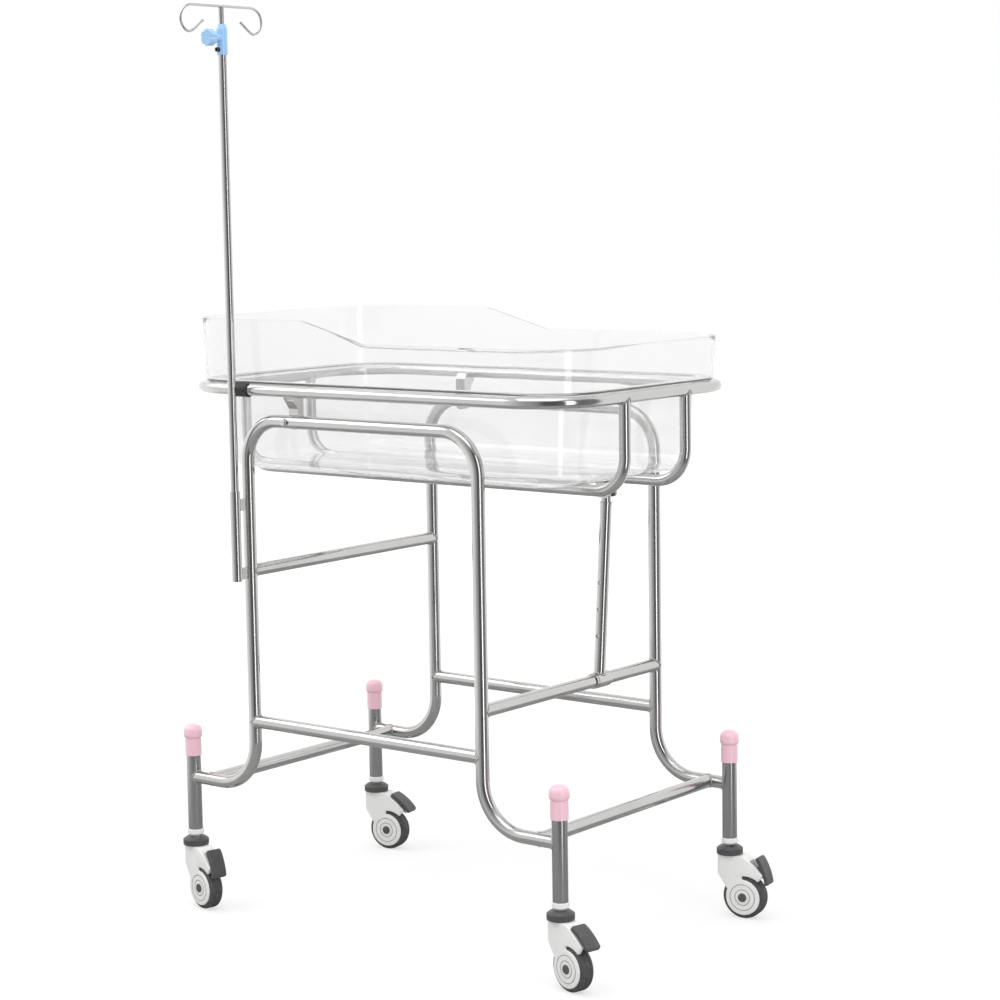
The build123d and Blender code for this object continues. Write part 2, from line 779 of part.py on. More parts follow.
def local_across(x, z, d, half):
    """A round bar along the wheel's axle direction, in the caster's own axes."""
    return Pos(x, 0, z) * Rot(90, 0, 0) * Cylinder(d / 2, 2 * half)


def swivel_disc():
    """Grey bearing cover that turns on the stem."""
    body = rod_between((0, 0, disc_bottom_z), (0, 0, disc_top_z), disc_d)
    body = chamfer(body.edges().group_by(Axis.Z)[-1], disc_chamfer_h, disc_chamfer_in)
    body = fillet(body.edges().group_by(Axis.Z)[0], disc_edge_r)
    return body - rod_between((0, 0, disc_bottom_z - past), (0, 0, disc_top_z + past),
                              stem_d + 2 * running)


def side_plate(outline, width):
    """An outline in the wheel's plane, given its thickness about the wheel's middle."""
    return extrude(Plane.XZ.offset(-width / 2) * outline, width)


def housing_outline():
    """Hood under the swivel disc, nose round the pedal pin and round cover beside the wheel."""
    pin_x, pin_z = pedal_pin
    front = -disc_d / 2 + housing_inset
    hood_end = (hood_reach, disc_bottom_z)
    brow = (pin_x, pin_z + brow_rise)
    tip = (pin_x + nose_out, pin_z - 1)
    chin = (pin_x + nose_out * 0.4, pin_z - brow_rise)
    shoulder = (front, wheel_r + cover_d * 0.55)
    behind_wheel = (wheel_trail - cover_d * 0.45, wheel_r + cover_d * 0.2)
    outline = Polygon((front, disc_bottom_z), shoulder, behind_wheel, (wheel_trail, wheel_r),
                      chin, tip, brow, hood_end, align=None)
    rounding = {hood_end: hood_round, brow: hood_round, tip: nose_round, shoulder: hood_round}
    for corner, r in rounding.items():
        outline = fillet(outline.vertices().sort_by_distance(Vector(*corner))[0], r)
    return outline + Pos(wheel_trail, wheel_r) * Circle(cover_d / 2)


def caster_housing():
    """White hood and side covers in one moulding, with ears for the pedal pin."""
    body = side_plate(housing_outline(), housing_width)
    rims = [e for e in body.edges() if abs(abs(e.center().Y) - housing_width / 2) < 0.01]
    body = chamfer(rims, housing_chamfer)
    body -= local_across(wheel_trail, wheel_r, wheel_d + 2 * wheel_clearance,
                         tyre_width / 2 + wheel_side_gap)
    pin_x, pin_z = pedal_pin
    room = Pos((pin_x - slot_back + pin_x + 2 * nose_out) / 2, 0, pin_z + slot_lift)
    body -= room * Box(slot_back + 2 * nose_out, pedal_arm_w + 2 * ear_gap, slot_h)
    rings = [Circle(r + ring_groove / 2) - Circle(r - ring_groove / 2) for r in cover_rings]
    for ring in rings:
        groove = side_plate(Pos(wheel_trail, wheel_r) * ring, housing_width + 2 * past)
        body -= groove - Box(4 * wheel_d, housing_width - ring_groove, 4 * wheel_d)
    body -= local_across(wheel_trail, wheel_r, axle_d, housing_width)
    body -= local_across(pin_x, pin_z, pedal_pin_d, housing_width)
    stem_end = disc_bottom_z - stem_tail - seat_gap - past
    return body - rod_between((0, 0, stem_end), (0, 0, disc_bottom_z + past), stem_d + 2 * running)


def caster_pins():
    """Wheel axle with its two grey end caps, and the pedal's pin."""
    half = housing_width / 2
    axle = local_across(wheel_trail, wheel_r, axle_d, half + axle_cap_h / 4)
    for side in (-1, 1):
        cap = Pos(wheel_trail, side * (half + axle_cap_h / 2), wheel_r) * Rot(90, 0, 0) * Cylinder(
            axle_cap_d / 2, axle_cap_h)
        axle += chamfer(cap.edges().group_by(Axis.Y)[-1 if side > 0 else 0], axle_cap_chamfer)
    pin = local_across(*pedal_pin, pedal_pin_d, half - pedal_pin_short)
    return Compound([axle, pin])


def wheel_hub():
    """Moulded wheel centre: rim, web and bearing boss, turning on the axle."""
    rim_r = wheel_r - tyre_depth
    half = tyre_width / 2
    rim_half = half - hub_draft
    web_half = half - hub_recess
    boss_r = axle_d / 2 + hub_boss_wall
    with BuildSketch(Plane.XY) as half_section:
        with BuildLine():
            Polyline(
                (axle_d / 2 + running, -half),
                (boss_r, -half),
                (boss_r + hub_draft, -web_half),
                (rim_r - hub_rim - hub_draft, -web_half),
                (rim_r - hub_rim, -rim_half),
                (rim_r, -rim_half),
                (rim_r, rim_half),
                (rim_r - hub_rim, rim_half),
                (rim_r - hub_rim - hub_draft, web_half),
                (boss_r + hub_draft, web_half),
                (boss_r, half),
                (axle_d / 2 + running, half),
                close=True,
            )
        make_face()
    return Pos(wheel_trail, 0, wheel_r) * revolve(half_section.sketch, Axis.Y)


def tyre():
    """Soft tread with round shoulders and two shallow grooves."""
    rim_r = wheel_r - tyre_depth
    with BuildSketch(Plane.XY) as half_section:
        with Locations(((rim_r + wheel_r) / 2, 0)):
            Rectangle(tyre_depth, tyre_width)
        fillet(half_section.vertices().group_by(Axis.X)[-1], tyre_round)
        for y in (-tread_groove_y, tread_groove_y):
            with Locations((wheel_r, y)):
                Circle(tread_groove_d / 2, mode=Mode.SUBTRACT)
    return Pos(wheel_trail, 0, wheel_r) * revolve(half_section.sketch, Axis.Y)


def brake_pedal(released):
    """Rocking foot pedal with its arm, hub and brake cam, drawn pressed or turned back by
    released degrees about its pin."""
    band = Circle(pedal_bow_r + pedal_thick) - Circle(pedal_bow_r)
    band &= Pos(0, pedal_bow_r) * Rectangle(pedal_len, 6 * pedal_thick)
    band = fillet(band.vertices(), pedal_edge_r)
    tread = Pos(0, 0, pedal_reach - pedal_bow_r) * side_plate(band, pedal_width)
    outline = RectangleRounded(pedal_len, pedal_width, pedal_corner_r)
    tread &= Pos(0, 0, -pedal_len) * extrude(outline, 3 * pedal_len)
    arm_top = pedal_reach + past
    arm = Pos(0, 0, arm_top / 2) * Box(pedal_neck, pedal_arm_w, arm_top)
    hub = Rot(90, 0, 0) * Cylinder(pedal_hub_r, pedal_arm_w)
    cam_r = pedal_hub_r - seat_gap
    cam_reach = math.hypot(pedal_pin_out, pedal_pin_up) - wheel_r - seat_gap
    to_axle = math.degrees(math.atan2(-pedal_pin_out, -pedal_pin_up))
    cam = Rot(0, to_axle - pedal_lean, 0) * Pos(0, 0, cam_reach - cam_r) * Rot(90, 0, 0) * Cylinder(
        cam_r, pedal_arm_w)
    body = tread + arm + hub + cam
    body -= Rot(90, 0, 0) * Cylinder(pedal_pin_d / 2 + running, pedal_width)
    return Pos(pedal_pin[0], 0, pedal_pin[1]) * Rot(0, pedal_lean - released, 0) * body


casters = {
    "head_front": (-post_x, -frame_y, -13.0, 0.0),
    "head_back": (-post_x, frame_y, 10.0, pedal_swing),
    "foot_front": (post_x, -frame_y, -13.0, pedal_swing),
    "foot_back": (post_x, frame_y, 10.0, 0.0),
}

parts = {
    "side_frame_front": side_frame(-frame_y),
    "side_frame_back": side_frame(frame_y),
    "side_bar_front": side_bar(-frame_y),
    "side_bar_back": side_bar(frame_y),
    "head_bar_upper": bar_across_legs(-leg_x, head_bar_z),
    "head_bar_lower": bar_across_arms(-low_bar_x),
    "foot_bar_lower": bar_across_arms(low_bar_x),
    "prop_bar": prop_bar(),
    "top_ring": top_ring(),
    "runner_front": runner(-runner_y),
    "runner_back": runner(runner_y),
    "pivot_lugs": Compound([pivot_lug(-1), pivot_lug(1)]),
    "pivot_bolts": Compound([pivot_bolt(-1), pivot_bolt(1)]),
    "pivot_washers": Compound([pivot_washer(-1), pivot_washer(1)]),
    "prop_lug": prop_lug(),
    "prop_outer": prop_outer(),
    "prop_inner": prop_inner(),
    "prop_pin": prop_pin(),
    "prop_button": prop_button(),
    "prop_spring": prop_spring(),
    "pole_socket": pole_socket(),
    "pole_tube": pole_tube(),
    "pole_clamp": pole_clamp(),
    "clamp_screw": clamp_screw(),
    "clamp_knob": clamp_knob(),
    "pole_rod": pole_rod(),
    "pole_hooks": pole_hooks(),
    "ring_buffer": ring_buffer(),
    "tub": tub(),
    "bumper_caps": Compound([bumper_cap(x, y) for x, y, _, _ in casters.values()]),
    "caster_bushes": Compound([caster_bush(x, y) for x, y, _, _ in casters.values()]),
    "caster_stems": Compound([caster_stem(x, y) for x, y, _, _ in casters.values()]),
}

disc = swivel_disc()
housing = caster_housing()
pins = caster_pins()
hub = wheel_hub()
tread = tyre()
for name, (x, y, heading, swing) in casters.items():
    place = Pos(x, y, 0) * Rot(0, 0, heading)
    parts["post_" + name] = post(x, y)
    parts["swivel_disc_" + name] = place * disc
    parts["caster_housing_" + name] = place * housing
    parts["caster_pins_" + name] = place * pins
    parts["wheel_hub_" + name] = place * hub
    parts["tyre_" + name] = place * tread
    parts["brake_pedal_" + name] = place * brake_pedal(swing)

box = Compound(list(parts.values())).bounding_box()
home = Pos(-(box.min.X + box.max.X) / 2, -(box.min.Y + box.max.Y) / 2, 0)
os.makedirs("parts", exist_ok=True)
for name, solid in parts.items():
    export_step(home * solid, "parts/" + name + ".step")

shift = home.position
print("nodes", len(parts))
print("home", round(shift.X, 4), round(shift.Y, 4))
print("box", [round(v, 2) for v in (box.size.X, box.size.Y, box.size.Z)], "lowest", round(box.min.Z, 3))
print("tilt_pivot", round(pivot_x + shift.X, 4), round(shift.Y, 4), top_rail_z)
print("prop_foot", round(prop_foot[0] + shift.X, 4), round(prop_y + shift.Y, 4), round(prop_foot[1], 4))
print("prop_axis", [round(v, 6) for v in prop_plane.z_dir], "travel", round(prop_travel, 4))
print("swing_ratio", swing_ratio, "slot", round(slot_along, 3), round(slot_across, 3))
print("pole_axis", round(pole_x + shift.X, 4), round(pole_y + shift.Y, 4),
      "knob_z", round(knob_axis_z(), 3))
for name, (x, y, heading, swing) in casters.items():
    place = Pos(x + shift.X, y + shift.Y, 0) * Rot(0, 0, heading)
    print("caster", name, [round(v, 4) for v in place.position], "heading", heading,
          "wheel", [round(v, 4) for v in (place * Pos(wheel_trail, 0, wheel_r)).position],
          "pedal", [round(v, 4) for v in (place * Pos(pedal_pin[0], 0, pedal_pin[1])).position])
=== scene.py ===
# %% [markdown]
# A hospital bassinet, dressed for a studio picture. A stainless tube frame on four braked
# casters carries a tilting cradle, a clear tub that lifts out and a drip pole. The imported model
# is the fixed frame: it holds the true place of every tube and pin. This file adds the
# finishes, the clear tub, the weld beads, the covers of the casters and the double hook.

# %% Load the frame
import json
import math

import bmesh
import bpy
from mathutils import Matrix, Vector


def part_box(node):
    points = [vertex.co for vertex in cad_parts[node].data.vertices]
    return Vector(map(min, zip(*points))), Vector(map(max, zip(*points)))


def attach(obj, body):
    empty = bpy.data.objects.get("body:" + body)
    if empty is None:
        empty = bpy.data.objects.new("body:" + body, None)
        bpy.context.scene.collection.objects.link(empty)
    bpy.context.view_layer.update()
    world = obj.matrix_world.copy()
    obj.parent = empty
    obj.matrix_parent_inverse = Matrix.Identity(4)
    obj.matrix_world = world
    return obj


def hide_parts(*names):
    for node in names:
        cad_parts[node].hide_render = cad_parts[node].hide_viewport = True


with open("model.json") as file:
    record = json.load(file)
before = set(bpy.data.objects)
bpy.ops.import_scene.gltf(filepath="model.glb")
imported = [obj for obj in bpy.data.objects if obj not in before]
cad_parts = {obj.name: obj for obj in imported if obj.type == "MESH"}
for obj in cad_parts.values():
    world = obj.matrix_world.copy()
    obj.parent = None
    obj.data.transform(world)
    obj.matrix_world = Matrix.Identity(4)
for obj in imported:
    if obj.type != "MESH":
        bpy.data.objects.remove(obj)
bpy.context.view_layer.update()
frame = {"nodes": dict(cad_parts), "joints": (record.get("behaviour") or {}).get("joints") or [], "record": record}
nodes = frame["nodes"]
scene = bpy.context.scene
MM = 0.001

# %% [markdown]
# Places are read from the frame, so that each added piece sits on what carries it. The origin
# is under the middle of the whole object, but the tubes are laid out about the middle of the
# four legs, so that point comes first. The camera is placed from it too.

# %% The middle of the legs
def low(node):
    return Vector(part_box(node)[0])


def high(node):
    return Vector(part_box(node)[1])


def middle(node):
    return (low(node) + high(node)) / 2


legs_mid = Vector((middle("side_frame_front").x,
                   (middle("side_frame_front").y + middle("side_frame_back").y) / 2, 0.0))
print("middle of the legs", [round(v, 4) for v in legs_mid])

# %% [markdown]
# The camera stands where the photograph's stood. A long lens keeps the uprights nearly
# parallel. The turn is built from three plain ones, as on a tripod: pan about the vertical,
# tip downwards, then a slight roll about the line of sight.

# %% Camera
VIEW_PAN = math.radians(38.34)
VIEW_TIP = math.radians(6.98)
VIEW_ROLL = math.radians(-0.89)
VIEW_FROM = Vector((2704.9, -3291.4, 1238.7)) * MM
FOCAL_PX = 2512.0
PICTURE_PX = 1000.0
SENSOR_MM = 36.0


def add_camera():
    data = bpy.data.cameras.new("camera")
    data.sensor_width = SENSOR_MM
    data.lens = FOCAL_PX / PICTURE_PX * SENSOR_MM
    data.clip_end = 60.0
    cam = bpy.data.objects.new("camera", data)
    scene.collection.objects.link(cam)
    turn = Matrix.Rotation(VIEW_PAN, 4, "Z")
    turn = turn @ Matrix.Rotation(math.pi / 2 - VIEW_TIP, 4, "X")
    turn = turn @ Matrix.Rotation(VIEW_ROLL, 4, "Z")
    cam.matrix_world = Matrix.Translation(legs_mid + VIEW_FROM) @ turn
    scene.camera = cam
    return cam


camera = add_camera()
print("lens", round(camera.data.lens, 1), "mm")

# %% [markdown]
# Node trees are easier to read when a few short helpers do the wiring. A group is built once
# and placed in each material with its own values.

# %% Helpers for node trees
def new_group(name, inputs, outputs):
    """An empty shader group with named inputs (name, kind, default) and outputs (name, kind)."""
    tree = bpy.data.node_groups.new(name, "ShaderNodeTree")
    for label, kind, value in inputs:
        socket = tree.interface.new_socket(label, in_out="INPUT", socket_type="NodeSocket" + kind)
        socket.default_value = value
    for label, kind in outputs:
        tree.interface.new_socket(label, in_out="OUTPUT", socket_type="NodeSocket" + kind)
    return tree, tree.nodes.new("NodeGroupInput"), tree.nodes.new("NodeGroupOutput")


def wire(tree, source, target):
    tree.links.new(source, target)


def fill_in(tree, socket, value):
    """Link a socket, or set it when the value is plain."""
    if isinstance(value, bpy.types.NodeSocket):
        wire(tree, value, socket)
    else:
        socket.default_value = value


def math_node(tree, operation, a, b=0.0):
    made = tree.nodes.new("ShaderNodeMath")
    made.operation = operation
    fill_in(tree, made.inputs[0], a)
    fill_in(tree, made.inputs[1], b)
    return made.outputs[0]


def mix_colour(tree, factor, a, b):
    made = tree.nodes.new("ShaderNodeMix")
    made.data_type = "RGBA"
    fill_in(tree, made.inputs["Factor"], factor)
    fill_in(tree, made.inputs[6], a)
    fill_in(tree, made.inputs[7], b)
    return made.outputs[2]


def spread(tree, value, low_in, high_in, low_out, high_out):
    """Map one range to another, held at its ends."""
    made = tree.nodes.new("ShaderNodeMapRange")
    fill_in(tree, made.inputs["Value"], value)
    fill_in(tree, made.inputs["From Min"], low_in)
    fill_in(tree, made.inputs["From Max"], high_in)
    fill_in(tree, made.inputs["To Min"], low_out)
    fill_in(tree, made.inputs["To Max"], high_out)
    return made.outputs["Result"]


def noise(tree, scale, detail=2.0):
    """Noise on object coordinates, so its scale is in grains to the metre."""
    coords = tree.nodes.new("ShaderNodeTexCoord")
    made = tree.nodes.new("ShaderNodeTexNoise")
    made.inputs["Detail"].default_value = detail
    fill_in(tree, made.inputs["Scale"], scale)
    wire(tree, coords.outputs["Object"], made.inputs["Vector"])
    return made.outputs["Fac"]


def grey(value):
    return (value, value, value, 1.0)


# %% [markdown]
# Polished tube is never an even mirror. The belt that polished it leaves hair-fine marks, hands
# and cloths leave soft cloudy patches, and both show in the sharpness of a reflection more
# than in its colour. The group gives a roughness that wanders and a slight change of tone.

# %% Group: polish marks
CLOUD_SCALE = 11.0
HAIR_SCALE = 900.0


def build_polish():
    tree, entry, leave = new_group(
        "PolishMarks",
        [("Colour", "Color", grey(0.5)), ("Roughness", "Float", 0.15), ("Wander", "Float", 0.1)],
        [("Colour", "Color"), ("Roughness", "Float"), ("Height", "Float")])
    cloud = noise(tree, CLOUD_SCALE, 4.0)
    hair = noise(tree, HAIR_SCALE, 1.0)
    patches = spread(tree, cloud, 0.35, 0.7, -0.5, 0.6)
    marks = math_node(tree, "ADD", patches, spread(tree, hair, 0.3, 0.7, -0.25, 0.25))
    swing = math_node(tree, "MULTIPLY", marks, entry.outputs["Wander"])
    wire(tree, math_node(tree, "ADD", entry.outputs["Roughness"], swing), leave.inputs["Roughness"])
    dull = spread(tree, cloud, 0.35, 0.75, 0.0, 0.12)
    wire(tree, mix_colour(tree, dull, entry.outputs["Colour"], grey(0.3)), leave.inputs["Colour"])
    wire(tree, hair, leave.inputs["Height"])
    return tree


polish_marks = build_polish()

# %% [markdown]
# Moulded plastic carries the very fine grain of its mould, and slow changes of gloss where it
# cooled. What lives near the floor also gathers dust, so a second group lays it on, thickest
# at the floor and gone a hand's breadth up.

# %% Groups: moulded grain and floor dust
MOTTLE_SCALE = 22.0
DUST_SCALE = 160.0


def build_moulded():
    tree, entry, leave = new_group(
        "MouldedGrain",
        [("Colour", "Color", grey(0.8)), ("Roughness", "Float", 0.35), ("Mottle", "Float", 0.06),
         ("Grain Scale", "Float", 1500.0)],
        [("Colour", "Color"), ("Roughness", "Float"), ("Height", "Float")])
    slow = noise(tree, MOTTLE_SCALE, 4.0)
    gloss = spread(tree, slow, 0.3, 0.7, -0.05, 0.07)
    wire(tree, math_node(tree, "ADD", entry.outputs["Roughness"], gloss), leave.inputs["Roughness"])
    patch = math_node(tree, "MULTIPLY", spread(tree, slow, 0.45, 0.8, 0.0, 1.0),
                      entry.outputs["Mottle"])
    wire(tree, mix_colour(tree, patch, entry.outputs["Colour"], grey(0.35)), leave.inputs["Colour"])
    wire(tree, noise(tree, entry.outputs["Grain Scale"], 1.0), leave.inputs["Height"])
    return tree


def build_dust():
    tree, entry, leave = new_group(
        "FloorDust",
        [("Colour", "Color", grey(0.5)), ("Dust Colour", "Color", (0.36, 0.34, 0.31, 1.0)),
         ("Amount", "Float", 0.4), ("Reach", "Float", 0.14)],
        [("Colour", "Color")])
    coords = tree.nodes.new("ShaderNodeTexCoord")
    split = tree.nodes.new("ShaderNodeSeparateXYZ")
    wire(tree, coords.outputs["Object"], split.inputs[0])
    near_floor = spread(tree, split.outputs["Z"], 0.0, entry.outputs["Reach"], 1.0, 0.0)
    specks = spread(tree, noise(tree, DUST_SCALE, 5.0), 0.46, 0.7, 0.0, 1.0)
    cover = math_node(tree, "MULTIPLY", near_floor, specks)
    cover = math_node(tree, "MULTIPLY", cover, entry.outputs["Amount"])
    wire(tree, mix_colour(tree, cover, entry.outputs["Colour"], entry.outputs["Dust Colour"]),
         leave.inputs["Colour"])
    return tree


moulded_grain = build_moulded()
floor_dust = build_dust()
print("groups", [group.name for group in bpy.data.node_groups])

# %% [markdown]
# Each finish is one material: a Principled shader fed by the groups. Values that are the same
# all over, such as the coat on the glossy caps, stay on the shader's own sockets. Real acrylic
# bends light by 1.49. A lower index and a slight white veil keep the tub as faint as it is in
# a brightly lit picture.

# %% Material builders
ACRYLIC_INDEX = 1.4
ACRYLIC_CLEARNESS = 0.93
ACRYLIC_ROUGHNESS = 0.015
COAT_ROUGHNESS = 0.1
POLISH_DEPTH = 0.02 * MM

def new_material(name):
    mat = bpy.data.materials.new(name)
    mat.use_nodes = True
    tree = mat.node_tree
    return mat, tree, tree.nodes["Principled BSDF"]


def place_group(tree, group, **values):
    placed = tree.nodes.new("ShaderNodeGroup")
    placed.node_tree = group
    for key, value in values.items():
        fill_in(tree, placed.inputs[key.replace("_", " ")], value)
    return placed


def raise_bump(tree, shader, height, strength, depth):
    bump = tree.nodes.new("ShaderNodeBump")
    bump.inputs["Strength"].default_value = strength
    bump.inputs["Distance"].default_value = depth
    wire(tree, height, bump.inputs["Height"])
    wire(tree, bump.outputs["Normal"], shader.inputs["Normal"])


def polished(name, colour, roughness, wander=0.1):
    mat, tree, shader = new_material(name)
    shader.inputs["Metallic"].default_value = 1.0
    marks = place_group(tree, polish_marks, Colour=(*colour, 1.0), Roughness=roughness, Wander=wander)
    wire(tree, marks.outputs["Colour"], shader.inputs["Base Color"])
    wire(tree, marks.outputs["Roughness"], shader.inputs["Roughness"])
    raise_bump(tree, shader, marks.outputs["Height"], 0.03, POLISH_DEPTH)
    return mat


def moulded(name, colour, roughness, dust=0.0, grain=1500.0, coat=0.0, depth=0.03 * MM, mottle=0.06):
    mat, tree, shader = new_material(name)
    shader.inputs["Coat Weight"].default_value = coat
    shader.inputs["Coat Roughness"].default_value = COAT_ROUGHNESS
    skin = place_group(tree, moulded_grain, Colour=(*colour, 1.0), Roughness=roughness,
                       Grain_Scale=grain, Mottle=mottle)
    dusty = place_group(tree, floor_dust, Colour=skin.outputs["Colour"], Amount=dust)
    wire(tree, dusty.outputs["Colour"], shader.inputs["Base Color"])
    wire(tree, skin.outputs["Roughness"], shader.inputs["Roughness"])
    raise_bump(tree, shader, skin.outputs["Height"], 0.3, depth)
    return mat


def clear_acrylic():
    mat, tree, shader = new_material("clear acrylic")
    shader.inputs["Base Color"].default_value = grey(0.985)
    shader.inputs["Roughness"].default_value = ACRYLIC_ROUGHNESS
    shader.inputs["IOR"].default_value = ACRYLIC_INDEX
    shader.inputs["Transmission Weight"].default_value = ACRYLIC_CLEARNESS
    return mat


# %% Finishes
steel_tube = polished("polished stainless tube", (0.57, 0.565, 0.56), 0.15)
# The caster posts are the tubes' steel made darker, which is painted shade, and rougher, which is their brushed
# finish.
shaded_post_steel = polished("brushed caster post with painted shade", (0.42, 0.42, 0.425), 0.2)
steel_weld = polished("weld bead", (0.52, 0.51, 0.50), 0.27, wander=0.2)
steel_small = polished("bright plated fasteners", (0.62, 0.62, 0.62), 0.17)
steel_dark = polished("blackened screw", (0.035, 0.035, 0.038), 0.3)
white_moulding = moulded("white nylon moulding", (0.97, 0.97, 0.955), 0.32, dust=0.06, mottle=0.025)
# Flat grey for the faces deep in the covers' ring grooves: painted shade, with the floor dust laid over it.
painted_groove_shade = moulded("painted shade in the cover's grooves", (0.5, 0.5, 0.48), 0.6, dust=0.2)
pink_moulding = moulded("pink bumper caps", (1.0, 0.63, 0.73), 0.24, coat=0.4, mottle=0.02)
blue_moulding = moulded("blue clamp moulding", (0.36, 0.62, 0.95), 0.22, coat=0.4, mottle=0.02)
grey_moulding = moulded("dark grey moulding", (0.075, 0.076, 0.08), 0.42, dust=0.3, depth=0.06 * MM)
tread_rubber = moulded("grey tread rubber", (0.07, 0.07, 0.073), 0.5, dust=0.18, grain=800.0,
                       depth=0.1 * MM)
black_rubber = moulded("black rubber sleeve", (0.03, 0.03, 0.032), 0.6, grain=800.0, depth=0.08 * MM)
acrylic = clear_acrylic()

finish_of_slot = {
    "polished_steel": steel_tube,
    "plated_fasteners": steel_small,
    "dark_screw": steel_dark,
    "blue_plastic": blue_moulding,
    "pink_caps": pink_moulding,
    "white_nylon": white_moulding,
    "grey_plastic": grey_moulding,
    "grey_tread": tread_rubber,
    "black_rubber": black_rubber,
    "clear_acrylic": acrylic,
}
for part in frame["record"]["subparts"]:
    shown = nodes[part["node"]]
    finish = finish_of_slot[part["material_slot"]]
    shown.data.materials.clear()
    # The caster posts take the darker steel: painted shade.
    shown.data.materials.append(shaded_post_steel if part["node"].startswith("post_") else finish)
print("finishes", len(finish_of_slot))

# %% [markdown]
# The tub is one clear sheet, formed hot over a mould, so it has no sharp corner anywhere. It
# is made as a loft: rings of points, each the same rounded rectangle grown or shrunk, run up
# from the floor, round the foot of the wall, over the ledge that rests on the ring, and up to
# the rim. A Solidify modifier then gives the sheet its thickness, and Bevel softens the rim.

# %% Tub: sizes
SHEET = 4.0 * MM
SEAT_GAP = 0.3 * MM
WELL_INSET = 36.0 * MM
WELL_DRAFT = math.radians(5.0)
FLOOR_R = 26.0 * MM
RIM_INSET = 4.0 * MM
RIM_DRAFT = math.radians(2.0)
RING_CORNER_R = 104.0 * MM
LEDGE_R = 5.0 * MM
HEAD_RIM = high("tub").z
FOOT_RIM = HEAD_RIM - 36.0 * MM
STEP_START = -113.0 * MM
STEP_END = 20.0 * MM
STEP_R = 60.0 * MM
WAVE = 0.55 * MM
RIM_SOFTNESS = 1.4 * MM
RIM_SOFT_FROM = math.radians(60.0)

ring_r = (high("top_ring").z - low("top_ring").z) / 2
ring_mid = middle("top_ring")
ring_half = (high("top_ring") - low("top_ring")) / 2 - Vector((ring_r, ring_r, ring_r))
ledge_z = high("top_ring").z + SEAT_GAP
floor_z = low("tub").z
print("ring half sizes", [round(v, 4) for v in ring_half])


# %% Tub: rings of points
CORNER_STEPS = 14
LONG_STEPS = 64
SHORT_STEPS = 24


def ring_of_points(inset):
    """Points of a rounded rectangle, that far inside the ring's centre line."""
    half_x = ring_half.x - inset
    half_y = ring_half.y - inset
    r = RING_CORNER_R - inset
    straights = ((LONG_STEPS, half_x - r, half_y), (SHORT_STEPS, half_y - r, half_x))
    points = []
    for quarter in range(4):
        steps, run, out = straights[quarter % 2]
        turn = Matrix.Rotation(quarter * math.pi / 2, 2)
        for k in range(steps):
            points.append(turn @ Vector((run * (2 * k / steps - 1), -out)))
        for k in range(CORNER_STEPS):
            angle = math.pi / 2 * (k / CORNER_STEPS - 1)
            points.append(turn @ Vector((run + r * math.cos(angle), r - out + r * math.sin(angle))))
    return points


def rim_height(x):
    """Height of the rim at a distance along the bassinet from the middle of the legs."""
    slope = math.atan2(HEAD_RIM - FOOT_RIM, STEP_END - STEP_START)
    reach = STEP_R * math.tan(slope / 2)
    if x < STEP_START - reach:
        return HEAD_RIM
    if x < STEP_START + reach * math.cos(slope):
        return HEAD_RIM - STEP_R + math.sqrt(STEP_R ** 2 - (x - STEP_START + reach) ** 2)
    if x < STEP_END - reach * math.cos(slope):
        return HEAD_RIM - (x - STEP_START) * math.tan(slope)
    if x < STEP_END + reach:
        return FOOT_RIM + STEP_R - math.sqrt(STEP_R ** 2 - (x - STEP_END - reach) ** 2)
    return FOOT_RIM


def floor_wave(x, y):
    """Shallow waves that hot forming leaves in the tub's floor, never below its true level."""
    long_wave = math.sin(x * 41.0 + 1.7 * math.sin(y * 17.0))
    cross_wave = math.sin(y * 53.0 + 2.1 * math.sin(x * 13.0) + 0.8)
    return WAVE * (1.0 + 0.6 * long_wave + 0.4 * cross_wave)


# %% Tub: the loft
FLOOR_RINGS = 18
BEND_STEPS = 8
WALL_STEPS = 8
RIM_STEPS = 8
EDGE_FADE = 4.0


def tub_profile():
    """(inset, height above the floor) up the well and out over the ledge, below the rim."""
    rise = ledge_z - floor_z
    foot_inset = WELL_INSET + rise * math.tan(WELL_DRAFT)
    centre_inset = foot_inset + FLOOR_R * (1 - math.sin(WELL_DRAFT)) / math.cos(WELL_DRAFT)
    steps = []
    for k in range(BEND_STEPS + 1):
        angle = -math.pi / 2 + (math.pi / 2 - WELL_DRAFT) * k / BEND_STEPS
        steps.append((centre_inset - FLOOR_R * math.cos(angle), FLOOR_R * (1 + math.sin(angle))))
    start = steps[-1]
    for k in range(1, WALL_STEPS + 1):
        z = start[1] + (rise - LEDGE_R - start[1]) * k / WALL_STEPS
        steps.append((foot_inset - z * math.tan(WELL_DRAFT), z))
    for k in range(1, BEND_STEPS + 1):
        angle = math.pi / 2 * k / BEND_STEPS
        steps.append((WELL_INSET - LEDGE_R * (1 - math.cos(angle)), rise - LEDGE_R * (1 - math.sin(angle))))
    for k in range(1, BEND_STEPS + 1):
        angle = math.pi / 2 * k / BEND_STEPS
        steps.append((RIM_INSET + LEDGE_R * (1 - math.sin(angle)), rise + LEDGE_R * (1 - math.cos(angle))))
    return steps


